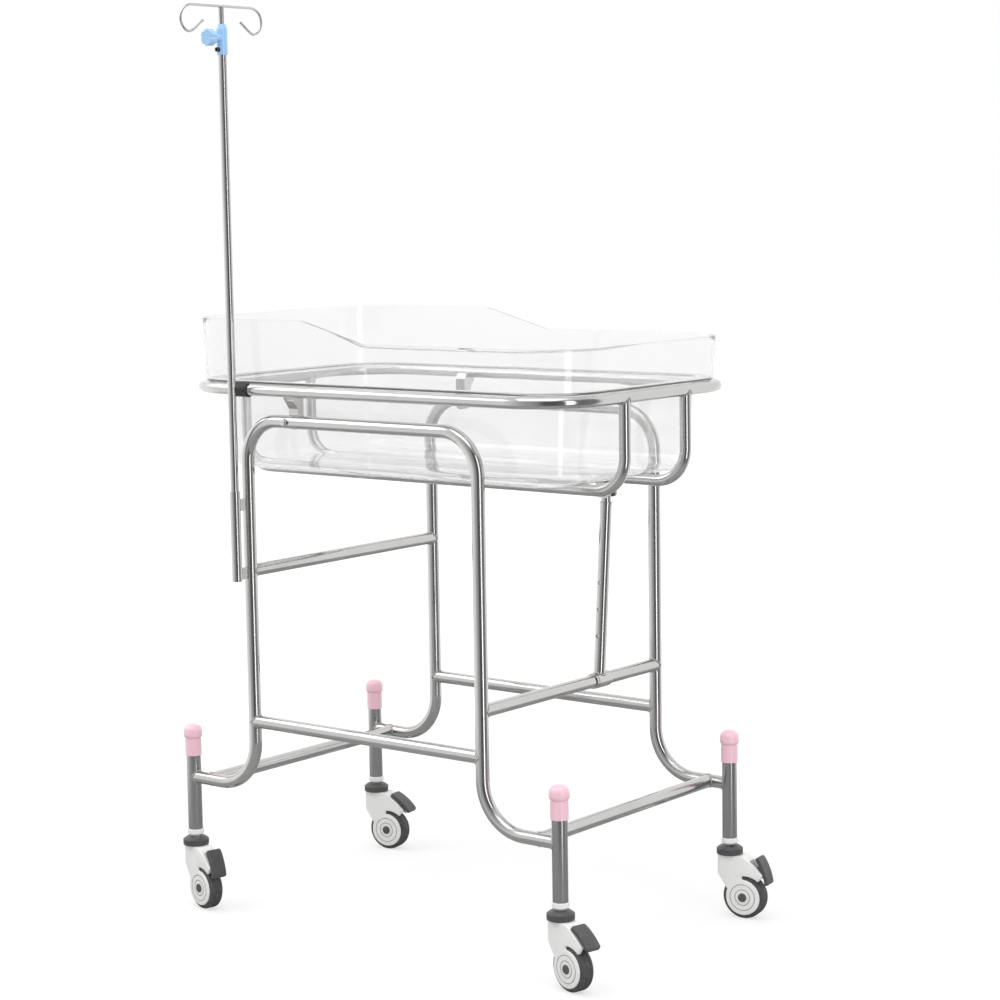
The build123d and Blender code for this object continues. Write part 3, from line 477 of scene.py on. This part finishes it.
def build_tub():
    build = bmesh.new()
    rings = []

    def add_ring(inset, height_at, shrink=1.0):
        row = []
        for p in ring_of_points(inset):
            p = p * shrink
            row.append(build.verts.new((ring_mid.x + p.x, ring_mid.y + p.y, height_at(p))))
        rings.append(row)

    profile = tub_profile()
    for k in range(1, FLOOR_RINGS):
        share = k / FLOOR_RINGS
        fade = min(1.0, (1 - share) * EDGE_FADE)
        add_ring(profile[0][0], lambda p, fade=fade: floor_z + fade * floor_wave(p.x, p.y), share)
    for inset, up in profile:
        add_ring(inset, lambda p, up=up: floor_z + up)
    from_legs = ring_mid.x - legs_mid.x
    foot_of_rim = floor_z + profile[-1][1]
    for k in range(1, RIM_STEPS + 1):
        share = k / RIM_STEPS
        leaned = share * (HEAD_RIM - ledge_z) * math.tan(RIM_DRAFT)

        def height_at(p, share=share):
            return foot_of_rim + share * (rim_height(p.x + from_legs) - foot_of_rim)

        add_ring(RIM_INSET - leaned, height_at)
    for inner, outer in zip(rings, rings[1:]):
        count = len(inner)
        for k in range(count):
            nxt = (k + 1) % count
            build.faces.new((inner[k], inner[nxt], outer[nxt], outer[k]))
    build.faces.new(rings[0][::-1])
    mesh = bpy.data.meshes.new("tub_loft")
    for face in build.faces:
        face.smooth = True
    build.normal_update()
    build.to_mesh(mesh)
    build.free()
    return mesh


print("tub profile points", len(tub_profile()))


# %% Tub: the piece
def settled(obj, name):
    """Turn an object with modifiers into a plain mesh object of that name."""
    scene.collection.objects.link(obj)
    bpy.context.view_layer.update()
    mesh = bpy.data.meshes.new_from_object(obj.evaluated_get(bpy.context.evaluated_depsgraph_get()))
    mesh.name = name
    bpy.data.objects.remove(obj)
    plain = bpy.data.objects.new(name, mesh)
    scene.collection.objects.link(plain)
    return plain


def add_tub():
    raw = bpy.data.objects.new("tub_loft", build_tub())
    thick = raw.modifiers.new("sheet", "SOLIDIFY")
    thick.thickness = SHEET
    thick.offset = -1.0
    soft = raw.modifiers.new("rim", "BEVEL")
    soft.width = RIM_SOFTNESS
    soft.segments = 3
    soft.limit_method = "ANGLE"
    soft.angle_limit = RIM_SOFT_FROM
    tub = settled(raw, "clear_tub")
    tub.data.materials.append(acrylic)
    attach(tub, "tub")
    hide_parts("tub")
    return tub


tub = add_tub()
print("tub faces", len(tub.data.polygons))

# %% [markdown]
# The tubes are welded, and each joint carries a bead of small overlapping ripples. The line of
# a bead follows a rule: it is where the skin of one tube meets the skin of another. That saddle
# is worked out as a closed line of points. A Geometry Nodes tree then sets a flattened ball
# every millimetre or so along it, which is just how a welder builds the bead.

# %% Welds: lines where two tubes meet
SADDLE_STEPS = 72
SLEEVE_R = 13.5 * MM
PROP_TUBE_R = 10.0 * MM
tube_r = (high("side_bar_front").z - low("side_bar_front").z) / 2
post_r = (high("post_head_front").x - low("post_head_front").x) / 2


def saddle(joint, bar, host, host_r, bar_r):
    """Closed line on a host tube where a bar that leaves it squarely meets its skin."""
    side = bar.cross(host)
    line = []
    for k in range(SADDLE_STEPS):
        turn = 2 * math.pi * k / SADDLE_STEPS
        across = bar_r * math.sin(turn)
        out = math.sqrt(max(host_r ** 2 - across ** 2, 0.0))
        line.append(joint + bar * out + host * (bar_r * math.cos(turn)) + side * across)
    return line


# %% Welds: every joint of the frame and the cradle
AXIS_X = Vector((1.0, 0.0, 0.0))
AXIS_Y = Vector((0.0, 1.0, 0.0))
AXIS_Z = Vector((0.0, 0.0, 1.0))


def frame_welds():
    lines = []
    leg_xs = {-1: middle("head_bar_upper").x, 1: middle("prop_bar").x}
    for end, leg_x in leg_xs.items():
        cross = "head_bar_upper" if end < 0 else "prop_bar"
        low_bar = "head_bar_lower" if end < 0 else "foot_bar_lower"
        for side, name in ((-1, "front"), (1, "back")):
            y = middle("side_frame_" + name).y
            bar_z = middle("side_bar_" + name).z
            post = middle("post_" + ("head_" if end < 0 else "foot_") + name)
            arm_z = middle(low_bar).z
            lines.append(saddle(Vector((leg_x, y, bar_z)), AXIS_X * -end, AXIS_Z, tube_r, tube_r))
            lines.append(saddle(Vector((leg_x, y, middle(cross).z)), AXIS_Y * -side, AXIS_Z,
                                tube_r, tube_r))
            lines.append(saddle(Vector((middle(low_bar).x, y, arm_z)), AXIS_Y * -side, AXIS_X,
                                tube_r, tube_r))
            lines.append(saddle(Vector((post.x, y, arm_z)), AXIS_X * -end, AXIS_Z, post_r, tube_r))
    return lines


def cradle_welds():
    lines = []
    ring_z = middle("top_ring").z
    for end_x in (low("top_ring").x + ring_r, high("top_ring").x - ring_r):
        for name in ("runner_front", "runner_back"):
            lines.append(saddle(Vector((end_x, middle(name).y, ring_z)), -AXIS_Z, AXIS_Y, ring_r, ring_r))
    return lines


def joint_named(name):
    return next(j for j in frame["joints"] if j["name"] == name)


def prop_welds():
    foot = Vector(joint_named("prop_swing")["pos_m"])
    along = Vector(joint_named("prop_slide")["axis"])
    return [saddle(foot, along, AXIS_Y, SLEEVE_R, PROP_TUBE_R)]


weld_lines = {"root": frame_welds(), "cradle": cradle_welds(), "prop_sleeve": prop_welds()}
print("weld lines", {body: len(lines) for body, lines in weld_lines.items()})


# %% Welds: the bead tree
BALL_SEGMENTS = 8
BALL_RINGS = 6
BEAD_R = 1.7 * MM


def add_geo(tree, kind, **values):
    """A Geometry Nodes node with settings as keywords."""
    made = tree.nodes.new(kind)
    for key, value in values.items():
        setattr(made, key, value)
    return made


def build_bead_tree():
    tree = bpy.data.node_groups.new("WeldBead", "GeometryNodeTree")
    face = tree.interface
    face.new_socket("Geometry", in_out="INPUT", socket_type="NodeSocketGeometry")
    for name, value in (("Pitch", 1.3 * MM), ("Bead Radius", 1.8 * MM), ("Flatness", 0.8)):
        face.new_socket(name, in_out="INPUT", socket_type="NodeSocketFloat").default_value = value
    face.new_socket("Finish", in_out="INPUT", socket_type="NodeSocketMaterial")
    face.new_socket("Geometry", in_out="OUTPUT", socket_type="NodeSocketGeometry")
    entry = tree.nodes.new("NodeGroupInput")
    leave = tree.nodes.new("NodeGroupOutput")
    to_curve = add_geo(tree, "GeometryNodeMeshToCurve")
    even = add_geo(tree, "GeometryNodeResampleCurve", mode="LENGTH")
    tangent = add_geo(tree, "GeometryNodeInputTangent")
    align = add_geo(tree, "FunctionNodeAlignRotationToVector", axis="Z")
    ball = add_geo(tree, "GeometryNodeMeshUVSphere")
    ball.inputs["Segments"].default_value = BALL_SEGMENTS
    ball.inputs["Rings"].default_value = BALL_RINGS
    scale = add_geo(tree, "ShaderNodeCombineXYZ")
    scale.inputs["X"].default_value = 1.0
    scale.inputs["Y"].default_value = 1.0
    put = add_geo(tree, "GeometryNodeInstanceOnPoints")
    real = add_geo(tree, "GeometryNodeRealizeInstances")
    smooth = add_geo(tree, "GeometryNodeSetShadeSmooth")
    finish = add_geo(tree, "GeometryNodeSetMaterial")
    wire(tree, entry.outputs["Geometry"], to_curve.inputs["Mesh"])
    wire(tree, to_curve.outputs["Curve"], even.inputs["Curve"])
    wire(tree, entry.outputs["Pitch"], even.inputs["Length"])
    wire(tree, even.outputs["Curve"], put.inputs["Points"])
    wire(tree, entry.outputs["Bead Radius"], ball.inputs["Radius"])
    wire(tree, ball.outputs["Mesh"], put.inputs["Instance"])
    wire(tree, tangent.outputs["Tangent"], align.inputs["Vector"])
    wire(tree, align.outputs["Rotation"], put.inputs["Rotation"])
    wire(tree, entry.outputs["Flatness"], scale.inputs["Z"])
    wire(tree, scale.outputs["Vector"], put.inputs["Scale"])
    wire(tree, put.outputs["Instances"], real.inputs["Geometry"])
    wire(tree, real.outputs["Geometry"], smooth.inputs["Geometry"])
    wire(tree, smooth.outputs["Geometry"], finish.inputs["Geometry"])
    wire(tree, entry.outputs["Finish"], finish.inputs["Material"])
    wire(tree, finish.outputs["Geometry"], leave.inputs["Geometry"])
    return tree


bead_tree = build_bead_tree()


# %% Helper: grow a tree on a mesh
def grown(name, mesh, tree, **inputs):
    """Run a Geometry Nodes tree on a mesh with its inputs set, and keep the plain result."""
    obj = bpy.data.objects.new(name + "_seed", mesh)
    grow = obj.modifiers.new("grow", "NODES")
    grow.node_group = tree
    for item in tree.interface.items_tree:
        label = item.name.replace(" ", "_")
        if item.in_out == "INPUT" and label in inputs:
            grow[item.identifier] = inputs[label]
    return settled(obj, name)


def line_mesh(name, lines):
    """Closed lines of points as a mesh of loose edges."""
    points = []
    edges = []
    for line in lines:
        start = len(points)
        points.extend(line)
        edges.extend((start + k, start + (k + 1) % len(line)) for k in range(len(line)))
    mesh = bpy.data.meshes.new(name)
    mesh.from_pydata(points, edges, [])
    return mesh


# %% Welds: one piece for each body
for body, lines in weld_lines.items():
    beads = grown("weld_beads_" + body, line_mesh("weld_lines_" + body, lines), bead_tree,
                  Bead_Radius=BEAD_R, Finish=steel_weld)
    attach(beads, body)
    print(beads.name, len(beads.data.polygons), "faces")

# %% [markdown]
# The white cover of a caster is one moulding: a hood that is round in front, like the disc
# above it, a nose with ears for the pedal's pin, and a round cover beside the wheel. A crescent
# between the last two shows the tyre. The side view is drawn as an outline with rounded
# corners. Layers of it across the width, drawn in a little near the sides, are skinned over.
# Boolean modifiers then cut the wheel's room and the ring grooves, as the cores of a mould do. The faces deep in
# the grooves get a flat grey: painted shade.

# %% Caster covers: sizes
COVER_HALF = 15.0 * MM
COVER_R = 30.75 * MM
COVER_EDGE = 1.6 * MM
EDGE_STEPS = 4
HOOD_R = 20.7 * MM
SHOULDER = Vector((-HOOD_R, 74.0 * MM))
JOIN_TURN = 156
CRESCENT_TURN = 92
CRESCENT_R = 36.8 * MM
CRESCENT_ROUND = 2.5 * MM
CHIN_R = 40.9 * MM
CHIN_TURN = 46
TIP_OUT = Vector((16.0, -1.0)) * MM
BROW_UP = 14.0 * MM
HOOD_END = 28.0 * MM
SOFT_CORNER = 6.0 * MM
SHARP_CORNER = 2.0 * MM
LONGEST_EDGE = 2.5 * MM
GROOVES = (22.5 * MM, 13.5 * MM)
GROOVE_HALF = 1.0 * MM
GROOVE_DEPTH = 1.1 * MM
ROOM_R = 39.5 * MM
ROOM_HALF = 12.5 * MM
FLAT_LAYERS = (0.75, 0.5, 0.25, 0.0, -0.25, -0.5, -0.75)
ARC_STEP = 4
ARC_GAP = 8
PEDAL_ROOM = Vector((42.0, 19.2, 38.0)) * MM
PEDAL_ROOM_AT = Vector((11.0, 6.0)) * MM


# %% Caster covers: the outline
def on_circle(centre, r, turn):
    return centre + Vector((r * math.cos(math.radians(turn)), r * math.sin(math.radians(turn))))


def rounded(corners, steps=8):
    """Points of a closed outline, each corner given with the radius that softens it."""
    points = []
    for k, (here, r) in enumerate(corners):
        if r == 0.0:
            points.append(here)
            continue
        back = (corners[k - 1][0] - here).normalized()
        ahead = (corners[(k + 1) % len(corners)][0] - here).normalized()
        reach = r / math.tan(back.angle(ahead) / 2)
        for step in range(steps + 1):
            t = step / steps
            points.append(here + back * reach * (1 - t) ** 2 + ahead * reach * t ** 2)
    return points


def divided(points):
    """The same outline with its long edges cut into short ones."""
    fine = []
    for k, here in enumerate(points):
        after = points[(k + 1) % len(points)]
        count = max(1, math.ceil((after - here).length / LONGEST_EDGE))
        fine.extend(here.lerp(after, step / count) for step in range(count))
    return fine


def cover_outline(wheel, pin, top):
    """The cover's side view, anticlockwise from the front of the hood."""
    corners = [(Vector((-HOOD_R, top)), 0.0), (SHOULDER, SOFT_CORNER)]
    for turn in range(JOIN_TURN, 360 + CRESCENT_TURN - ARC_GAP, ARC_STEP):
        corners.append((on_circle(wheel, COVER_R, turn), 0.0))
    corners.append((on_circle(wheel, COVER_R, CRESCENT_TURN), CRESCENT_ROUND))
    corners.append((on_circle(wheel, CRESCENT_R, CRESCENT_TURN), CRESCENT_ROUND))
    for turn in range(CRESCENT_TURN - ARC_GAP, CHIN_TURN, -ARC_STEP):
        share = (CRESCENT_TURN - turn) / (CRESCENT_TURN - CHIN_TURN)
        corners.append((on_circle(wheel, CRESCENT_R + (CHIN_R - CRESCENT_R) * share, turn), 0.0))
    corners.append((on_circle(wheel, CHIN_R, CHIN_TURN), SHARP_CORNER))
    corners.append((pin + TIP_OUT, SHARP_CORNER))
    corners.append((pin + Vector((0.0, BROW_UP)), SOFT_CORNER))
    corners.append((Vector((HOOD_END, top)), SOFT_CORNER))
    return divided(rounded(corners))


# %% Caster covers: layers across the width
def cover_layers():
    """(distance from the middle, how far the outline is drawn in) from one side to the other."""
    near = []
    for k in range(EDGE_STEPS + 1):
        angle = math.pi / 2 * k / EDGE_STEPS
        from_middle = COVER_HALF - COVER_EDGE * (1 - math.cos(angle))
        near.append((-from_middle, COVER_EDGE * (1 - math.sin(angle))))
    flat = near[-1][0]
    inner = [(flat * share, 0.0) for share in FLAT_LAYERS]
    return near + inner + [(-y, inset) for y, inset in reversed(near)]


def skinned_cover(outline):
    """The layers of the outline as one closed mesh, still without the wheel's room."""
    build = bmesh.new()
    rows = []
    count = len(outline)
    for y, inset in cover_layers():
        shrink = HOOD_R - math.sqrt(HOOD_R ** 2 - y ** 2)
        row = []
        for k, p in enumerate(outline):
            along = (outline[(k + 1) % count] - outline[k - 1]).normalized()
            q = p - Vector((along.y, -along.x)) * inset
            share = min(max(-q.x / HOOD_R, 0.0), 1.0)
            row.append(build.verts.new((q.x + shrink * share, y, q.y)))
        rows.append(row)
    for a, b in zip(rows, rows[1:]):
        for k in range(count):
            nxt = (k + 1) % count
            build.faces.new((a[k], b[k], b[nxt], a[nxt]))
    build.faces.new(rows[0])
    build.faces.new(rows[-1][::-1])
    mesh = bpy.data.meshes.new("cover_skin")
    build.to_mesh(mesh)
    build.free()
    return mesh


print("layers in a cover", len(cover_layers()))


# %% Caster covers: the cores of the mould
CORE_STEPS = 96
WELD_WITHIN = 0.001 * MM


def turned_core(name, section, centre):
    """A ring or rod round a line across the wheel, from a closed (radius, width) section."""
    build = bmesh.new()
    rows = []
    for k in range(CORE_STEPS):
        turn = 2 * math.pi * k / CORE_STEPS
        rows.append([build.verts.new((centre.x + r * math.cos(turn), y, centre.y + r * math.sin(turn)))
                     for r, y in section])
    for k, row in enumerate(rows):
        after = rows[(k + 1) % CORE_STEPS]
        for step in range(len(section)):
            nxt = (step + 1) % len(section)
            build.faces.new((row[step], after[step], after[nxt], row[nxt]))
    bmesh.ops.remove_doubles(build, verts=build.verts, dist=WELD_WITHIN)
    bmesh.ops.recalc_face_normals(build, faces=build.faces)
    mesh = bpy.data.meshes.new(name)
    build.to_mesh(mesh)
    build.free()
    return mesh


def block_core(name, size, centre):
    build = bmesh.new()
    bmesh.ops.create_cube(build, size=1.0,
                          matrix=Matrix.Translation(centre) @ Matrix.Diagonal((*size, 1.0)))
    mesh = bpy.data.meshes.new(name)
    build.to_mesh(mesh)
    build.free()
    return mesh


def cover_cores(wheel, pin):
    cores = [turned_core("wheel_room", ((0.0, -ROOM_HALF), (ROOM_R, -ROOM_HALF), (ROOM_R, ROOM_HALF),
                                        (0.0, ROOM_HALF)), wheel)]
    room = pin + PEDAL_ROOM_AT
    cores.append(block_core("pedal_room", PEDAL_ROOM, Vector((room.x, 0.0, room.y))))
    for r in GROOVES:
        for side in (-1, 1):
            proud = side * (COVER_HALF + GROOVE_DEPTH)
            deep = side * (COVER_HALF - GROOVE_DEPTH)
            section = ((r - GROOVE_HALF, proud), (r + GROOVE_HALF, proud),
                       (r + GROOVE_HALF / 2, deep), (r - GROOVE_HALF / 2, deep))
            cores.append(turned_core("ring_groove", section, wheel))
    return cores


# %% Caster covers: the four pieces
CASTERS = ("head_front", "head_back", "foot_front", "foot_back")
FLAT_ENOUGH = 0.999
SHARP_FROM = math.radians(40.0)


def caster_place(name):
    """Where a caster stands and how far it is turned, as its frame's joints say."""
    stem = Vector(joint_named("swivel_" + name)["pos_m"])
    trail = Vector(joint_named("roll_" + name)["pos_m"]) - stem
    return Matrix.Translation((stem.x, stem.y, 0.0)) @ Matrix.Rotation(math.atan2(trail.y, trail.x), 4, "Z")


def in_caster(name, joint):
    """A joint's place in the plane of that caster's wheel."""
    place = caster_place(name).inverted() @ Vector(joint_named(joint + "_" + name)["pos_m"])
    return Vector((place.x, place.z))


def build_cover():
    wheel = in_caster(CASTERS[0], "roll")
    pin = in_caster(CASTERS[0], "brake")
    top = high("caster_housing_" + CASTERS[0]).z
    raw = bpy.data.objects.new("cover_skin", skinned_cover(cover_outline(wheel, pin, top)))
    cores = []
    for mesh in cover_cores(wheel, pin):
        core = bpy.data.objects.new(mesh.name, mesh)
        scene.collection.objects.link(core)
        cut = raw.modifiers.new(mesh.name, "BOOLEAN")
        cut.operation = "DIFFERENCE"
        cut.solver = "EXACT"
        cut.object = core
        cores.append(core)
    cover = settled(raw, "cover_pattern")
    for core in cores:
        bpy.data.objects.remove(core)
    mesh = cover.data.copy()
    bpy.data.objects.remove(cover)
    mesh.materials.clear()
    mesh.materials.append(white_moulding)
    mesh.materials.append(painted_groove_shade)
    for face in mesh.polygons:
        face.use_smooth = abs(face.normal.y) < FLAT_ENOUGH
        r = math.hypot(face.center.x - wheel.x, face.center.z - wheel.y)
        # Faces deep in a ring groove take the second material, a flat grey: painted shade.
        deep = COVER_HALF - 1.2 * GROOVE_DEPTH < abs(face.center.y) < COVER_HALF - 0.02 * MM
        if deep and any(abs(r - ring) < GROOVE_HALF for ring in GROOVES):
            face.material_index = 1
    mesh.set_sharp_from_angle(angle=SHARP_FROM)
    return mesh


cover_pattern = build_cover()
for name in CASTERS:
    mesh = cover_pattern.copy()
    mesh.transform(caster_place(name))
    cover = bpy.data.objects.new("caster_cover_" + name, mesh)
    scene.collection.objects.link(cover)
    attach(cover, "fork_" + name)
    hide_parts("caster_housing_" + name)
print("cover faces", len(cover_pattern.polygons))

# %% [markdown]
# The double hook is one bent wire. Its ends sag into open loops that are a little deeper than
# they are wide, and the tips turn in towards the pole, clear of the knob when the rod is low. A
# Bezier curve draws such a wire best: a few knots, each with the direction that the wire has
# there. The other end is the same knots mirrored. Small beads close the tips.

# %% Hooks
HOOK_WIRE_R = 2.25 * MM
TIP_BEAD_R = 2.8 * MM
HOOK_KNOTS = (
    {"out": 68.0, "down": 0.0, "heading": 0.0, "before": 30.0, "after": 14.5},
    {"out": 94.0, "down": 22.0, "heading": -90.0, "before": 12.0, "after": 11.5},
    {"out": 74.5, "down": 43.0, "heading": -180.0, "before": 10.5, "after": 7.0},
    {"out": 45.0, "down": 25.0, "heading": -212.0, "before": 12.0, "after": 3.0},
)


def hook_wire():
    """Knots from one tip to the other as (place, direction, reach before, reach after)."""
    centre = middle("pole_rod")
    top = high("pole_hooks").z - HOOK_WIRE_R
    half = []
    for knot in HOOK_KNOTS:
        heading = math.radians(knot["heading"])
        half.append((Vector((centre.x, knot["out"] * MM, top - knot["down"] * MM)),
                     Vector((0.0, math.cos(heading), math.sin(heading))),
                     knot["before"] * MM, knot["after"] * MM))
    mirrored = []
    for place, along, before, after in reversed(half):
        mirrored.append((Vector((place.x, -place.y, place.z)), Vector((0.0, along.y, -along.z)),
                         after, before))
    shift = Vector((0.0, centre.y, 0.0))
    return [(place + shift, along, before, after) for place, along, before, after in mirrored + half]


def add_hooks():
    knots = hook_wire()
    curve = bpy.data.curves.new("hook_wire", "CURVE")
    curve.dimensions = "3D"
    curve.bevel_depth = HOOK_WIRE_R
    curve.bevel_resolution = 5
    curve.resolution_u = 16
    curve.use_fill_caps = True
    spline = curve.splines.new("BEZIER")
    spline.bezier_points.add(len(knots) - 1)
    for point, (place, along, before, after) in zip(spline.bezier_points, knots):
        point.handle_left_type = "FREE"
        point.handle_right_type = "FREE"
        point.co = place
        point.handle_left = place - along * before
        point.handle_right = place + along * after
    hooks = settled(bpy.data.objects.new("hook_wire", curve), "double_hook")
    build = bmesh.new()
    build.from_mesh(hooks.data)
    for tip in (knots[0][0], knots[-1][0]):
        bmesh.ops.create_uvsphere(build, u_segments=20, v_segments=12, radius=TIP_BEAD_R,
                                  matrix=Matrix.Translation(tip))
    for face in build.faces:
        face.smooth = True
    build.to_mesh(hooks.data)
    build.free()
    hooks.data.materials.clear()
    hooks.data.materials.append(steel_tube)
    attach(hooks, "pole_top")
    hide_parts("pole_hooks")
    return hooks


hooks = add_hooks()
print("hook faces", len(hooks.data.polygons))

# %% [markdown]
# The studio is a pale floor under a white backdrop. The floor's own matt colour takes the
# light and the shadows. A glow on top of it, stronger far out than near the casters, brings it
# up to the white of the backdrop for the camera and through glass. Upright tubes seen from a
# little above mirror the floor far away and nothing else, so for mirrored rays the floor ends
# a long stride out and the walls of the studio go on below it.

# %% Floor
FLOOR_REACH = 12.0
FLOOR_COLOUR = 0.42
GLOW_NEAR_AT = 0.9
GLOW_FAR_AT = 3.2
GLOW_NEAR = 0.60
GLOW_FAR = 0.90
ROOM_FROM = 1.0
ROOM_FULL = 1.7


def seen_directly(tree, path):
    """One for rays from the camera and rays that pass through glass."""
    return math_node(tree, "MAXIMUM", path.outputs["Is Camera Ray"],
                     path.outputs["Is Transmission Ray"])


def floor_material():
    mat = bpy.data.materials.new("pale floor")
    mat.use_nodes = True
    tree = mat.node_tree
    tree.nodes.clear()
    out = tree.nodes.new("ShaderNodeOutputMaterial")
    matt = tree.nodes.new("ShaderNodeBsdfDiffuse")
    matt.inputs["Color"].default_value = grey(FLOOR_COLOUR)
    coords = tree.nodes.new("ShaderNodeTexCoord")
    away = tree.nodes.new("ShaderNodeVectorMath")
    away.operation = "LENGTH"
    wire(tree, coords.outputs["Object"], away.inputs[0])
    bright = spread(tree, away.outputs["Value"], GLOW_NEAR_AT, GLOW_FAR_AT, GLOW_NEAR, GLOW_FAR)
    path = tree.nodes.new("ShaderNodeLightPath")
    glow = tree.nodes.new("ShaderNodeEmission")
    wire(tree, math_node(tree, "MULTIPLY", seen_directly(tree, path), bright), glow.inputs["Strength"])
    both = tree.nodes.new("ShaderNodeAddShader")
    wire(tree, matt.outputs[0], both.inputs[0])
    wire(tree, glow.outputs[0], both.inputs[1])
    mirrored = math_node(tree, "MAXIMUM", path.outputs["Is Glossy Ray"], path.outputs["Is Shadow Ray"])
    far = spread(tree, away.outputs["Value"], ROOM_FROM, ROOM_FULL, 0.0, 1.0)
    through = tree.nodes.new("ShaderNodeMixShader")
    wire(tree, math_node(tree, "MULTIPLY", mirrored, far), through.inputs[0])
    wire(tree, both.outputs[0], through.inputs[1])
    wire(tree, tree.nodes.new("ShaderNodeBsdfTransparent").outputs[0], through.inputs[2])
    wire(tree, through.outputs[0], out.inputs["Surface"])
    return mat


def add_floor():
    mesh = bpy.data.meshes.new("floor")
    corners = [(x * FLOOR_REACH, y * FLOOR_REACH, 0.0) for x, y in ((-1, -1), (1, -1), (1, 1), (-1, 1))]
    mesh.from_pydata(corners, [], [(0, 1, 2, 3)])
    mesh.materials.append(floor_material())
    obj = bpy.data.objects.new("floor", mesh)
    scene.collection.objects.link(obj)
    return obj


add_floor()

# %% [markdown]
# Bright metal shows the room more than itself. The camera sees white all round. What mirrors
# in the tubes is a studio drawn by compass bearing round the object: a white wall behind it
# that wraps round to the left, a dark gap behind the camera and grey flags to its right. The
# gap draws the dark band down the middle of each upright. The lamps lay the long highlights.

# %% World
CAMERA_RIGHT = Vector((math.cos(VIEW_PAN), math.sin(VIEW_PAN), 0.0))
TO_CAMERA = Vector((math.sin(VIEW_PAN), -math.cos(VIEW_PAN), 0.0))
CEILING_FROM = 0.6
CEILING_FULL = 0.85
CEILING = 0.9
FILL = 0.85
HALF_TURN = 180.0
WALL_BY_BEARING = {
    -180.0: 1.1,
    -120.0: 1.3,
    -75.0: 1.0,
    -45.0: 0.55,
    -22.0: 0.42,
    -9.0: 0.12,
    17.0: 0.12,
    52.0: 0.2,
    84.0: 0.3,
    97.0: 1.1,
    180.0: 1.1,
}


def bearing_share(tree, direction):
    """Bearing of a direction about the object, -180 to 180 degrees mapped to 0 to 1."""
    parts = []
    for axis in (CAMERA_RIGHT, TO_CAMERA):
        dot = tree.nodes.new("ShaderNodeVectorMath")
        dot.operation = "DOT_PRODUCT"
        wire(tree, direction, dot.inputs[0])
        dot.inputs[1].default_value = axis
        parts.append(dot.outputs["Value"])
    turn = math_node(tree, "ARCTAN2", parts[0], parts[1])
    return spread(tree, turn, -math.pi, math.pi, 0.0, 1.0)


def wall_ramp(tree, share):
    ramp = tree.nodes.new("ShaderNodeValToRGB")
    stops = ramp.color_ramp.elements
    places = list(WALL_BY_BEARING.items())
    while len(stops) < len(places):
        stops.new(0.5)
    for stop, (bearing, shade) in zip(stops, places):
        stop.position = (bearing + HALF_TURN) / (2 * HALF_TURN)
        stop.color = grey(shade)
    wire(tree, share, ramp.inputs["Fac"])
    return ramp.outputs["Color"]


def add_world():
    world = bpy.data.worlds.new("studio")
    scene.world = world
    world.use_nodes = True
    tree = world.node_tree
    tree.nodes.clear()
    coords = tree.nodes.new("ShaderNodeTexCoord")
    direction = coords.outputs["Generated"]
    split = tree.nodes.new("ShaderNodeSeparateXYZ")
    wire(tree, direction, split.inputs[0])
    wall = wall_ramp(tree, bearing_share(tree, direction))
    up = spread(tree, split.outputs["Z"], CEILING_FROM, CEILING_FULL, 0.0, 1.0)
    room = mix_colour(tree, up, wall, grey(CEILING))
    path = tree.nodes.new("ShaderNodeLightPath")
    light = mix_colour(tree, path.outputs["Is Glossy Ray"], grey(FILL), room)
    light = mix_colour(tree, seen_directly(tree, path), light, grey(1.0))
    back = tree.nodes.new("ShaderNodeBackground")
    out = tree.nodes.new("ShaderNodeOutputWorld")
    wire(tree, light, back.inputs["Color"])
    wire(tree, back.outputs[0], out.inputs["Surface"])


add_world()

# %% Lamps
CAMERA_SIDE = math.degrees(math.atan2(VIEW_FROM.y, VIEW_FROM.x))


def add_lamp(name, bearing, distance, height, width, tall, watts, aim_z=0.7):
    """A softbox at a bearing from the object, in degrees right of the camera."""
    data = bpy.data.lights.new(name, "AREA")
    data.shape = "RECTANGLE"
    data.size = width
    data.size_y = tall
    data.energy = watts
    lamp = bpy.data.objects.new(name, data)
    scene.collection.objects.link(lamp)
    angle = math.radians(CAMERA_SIDE + bearing)
    place = Vector((distance * math.cos(angle), distance * math.sin(angle), height))
    aim = Vector((0.0, 0.0, aim_z))
    turn = (aim - place).to_track_quat("-Z", "Y").to_matrix().to_4x4()
    lamp.matrix_world = Matrix.Translation(place) @ turn
    return lamp


add_lamp("strip", bearing=33.0, distance=3.4, height=1.2, width=0.75, tall=4.0, watts=26.0, aim_z=1.2)
add_lamp("left box", bearing=-100.0, distance=2.6, height=2.6, width=2.4, tall=1.4, watts=20.0)
add_lamp("ceiling box", bearing=-20.0, distance=0.9, height=3.4, width=2.4, tall=2.4, watts=24.0)
print("lamps", [lamp.name for lamp in bpy.data.lights])

# %% [markdown]
# The Standard view shows each colour about as it is written.

# %% Finish
scene.view_settings.view_transform = "Standard"
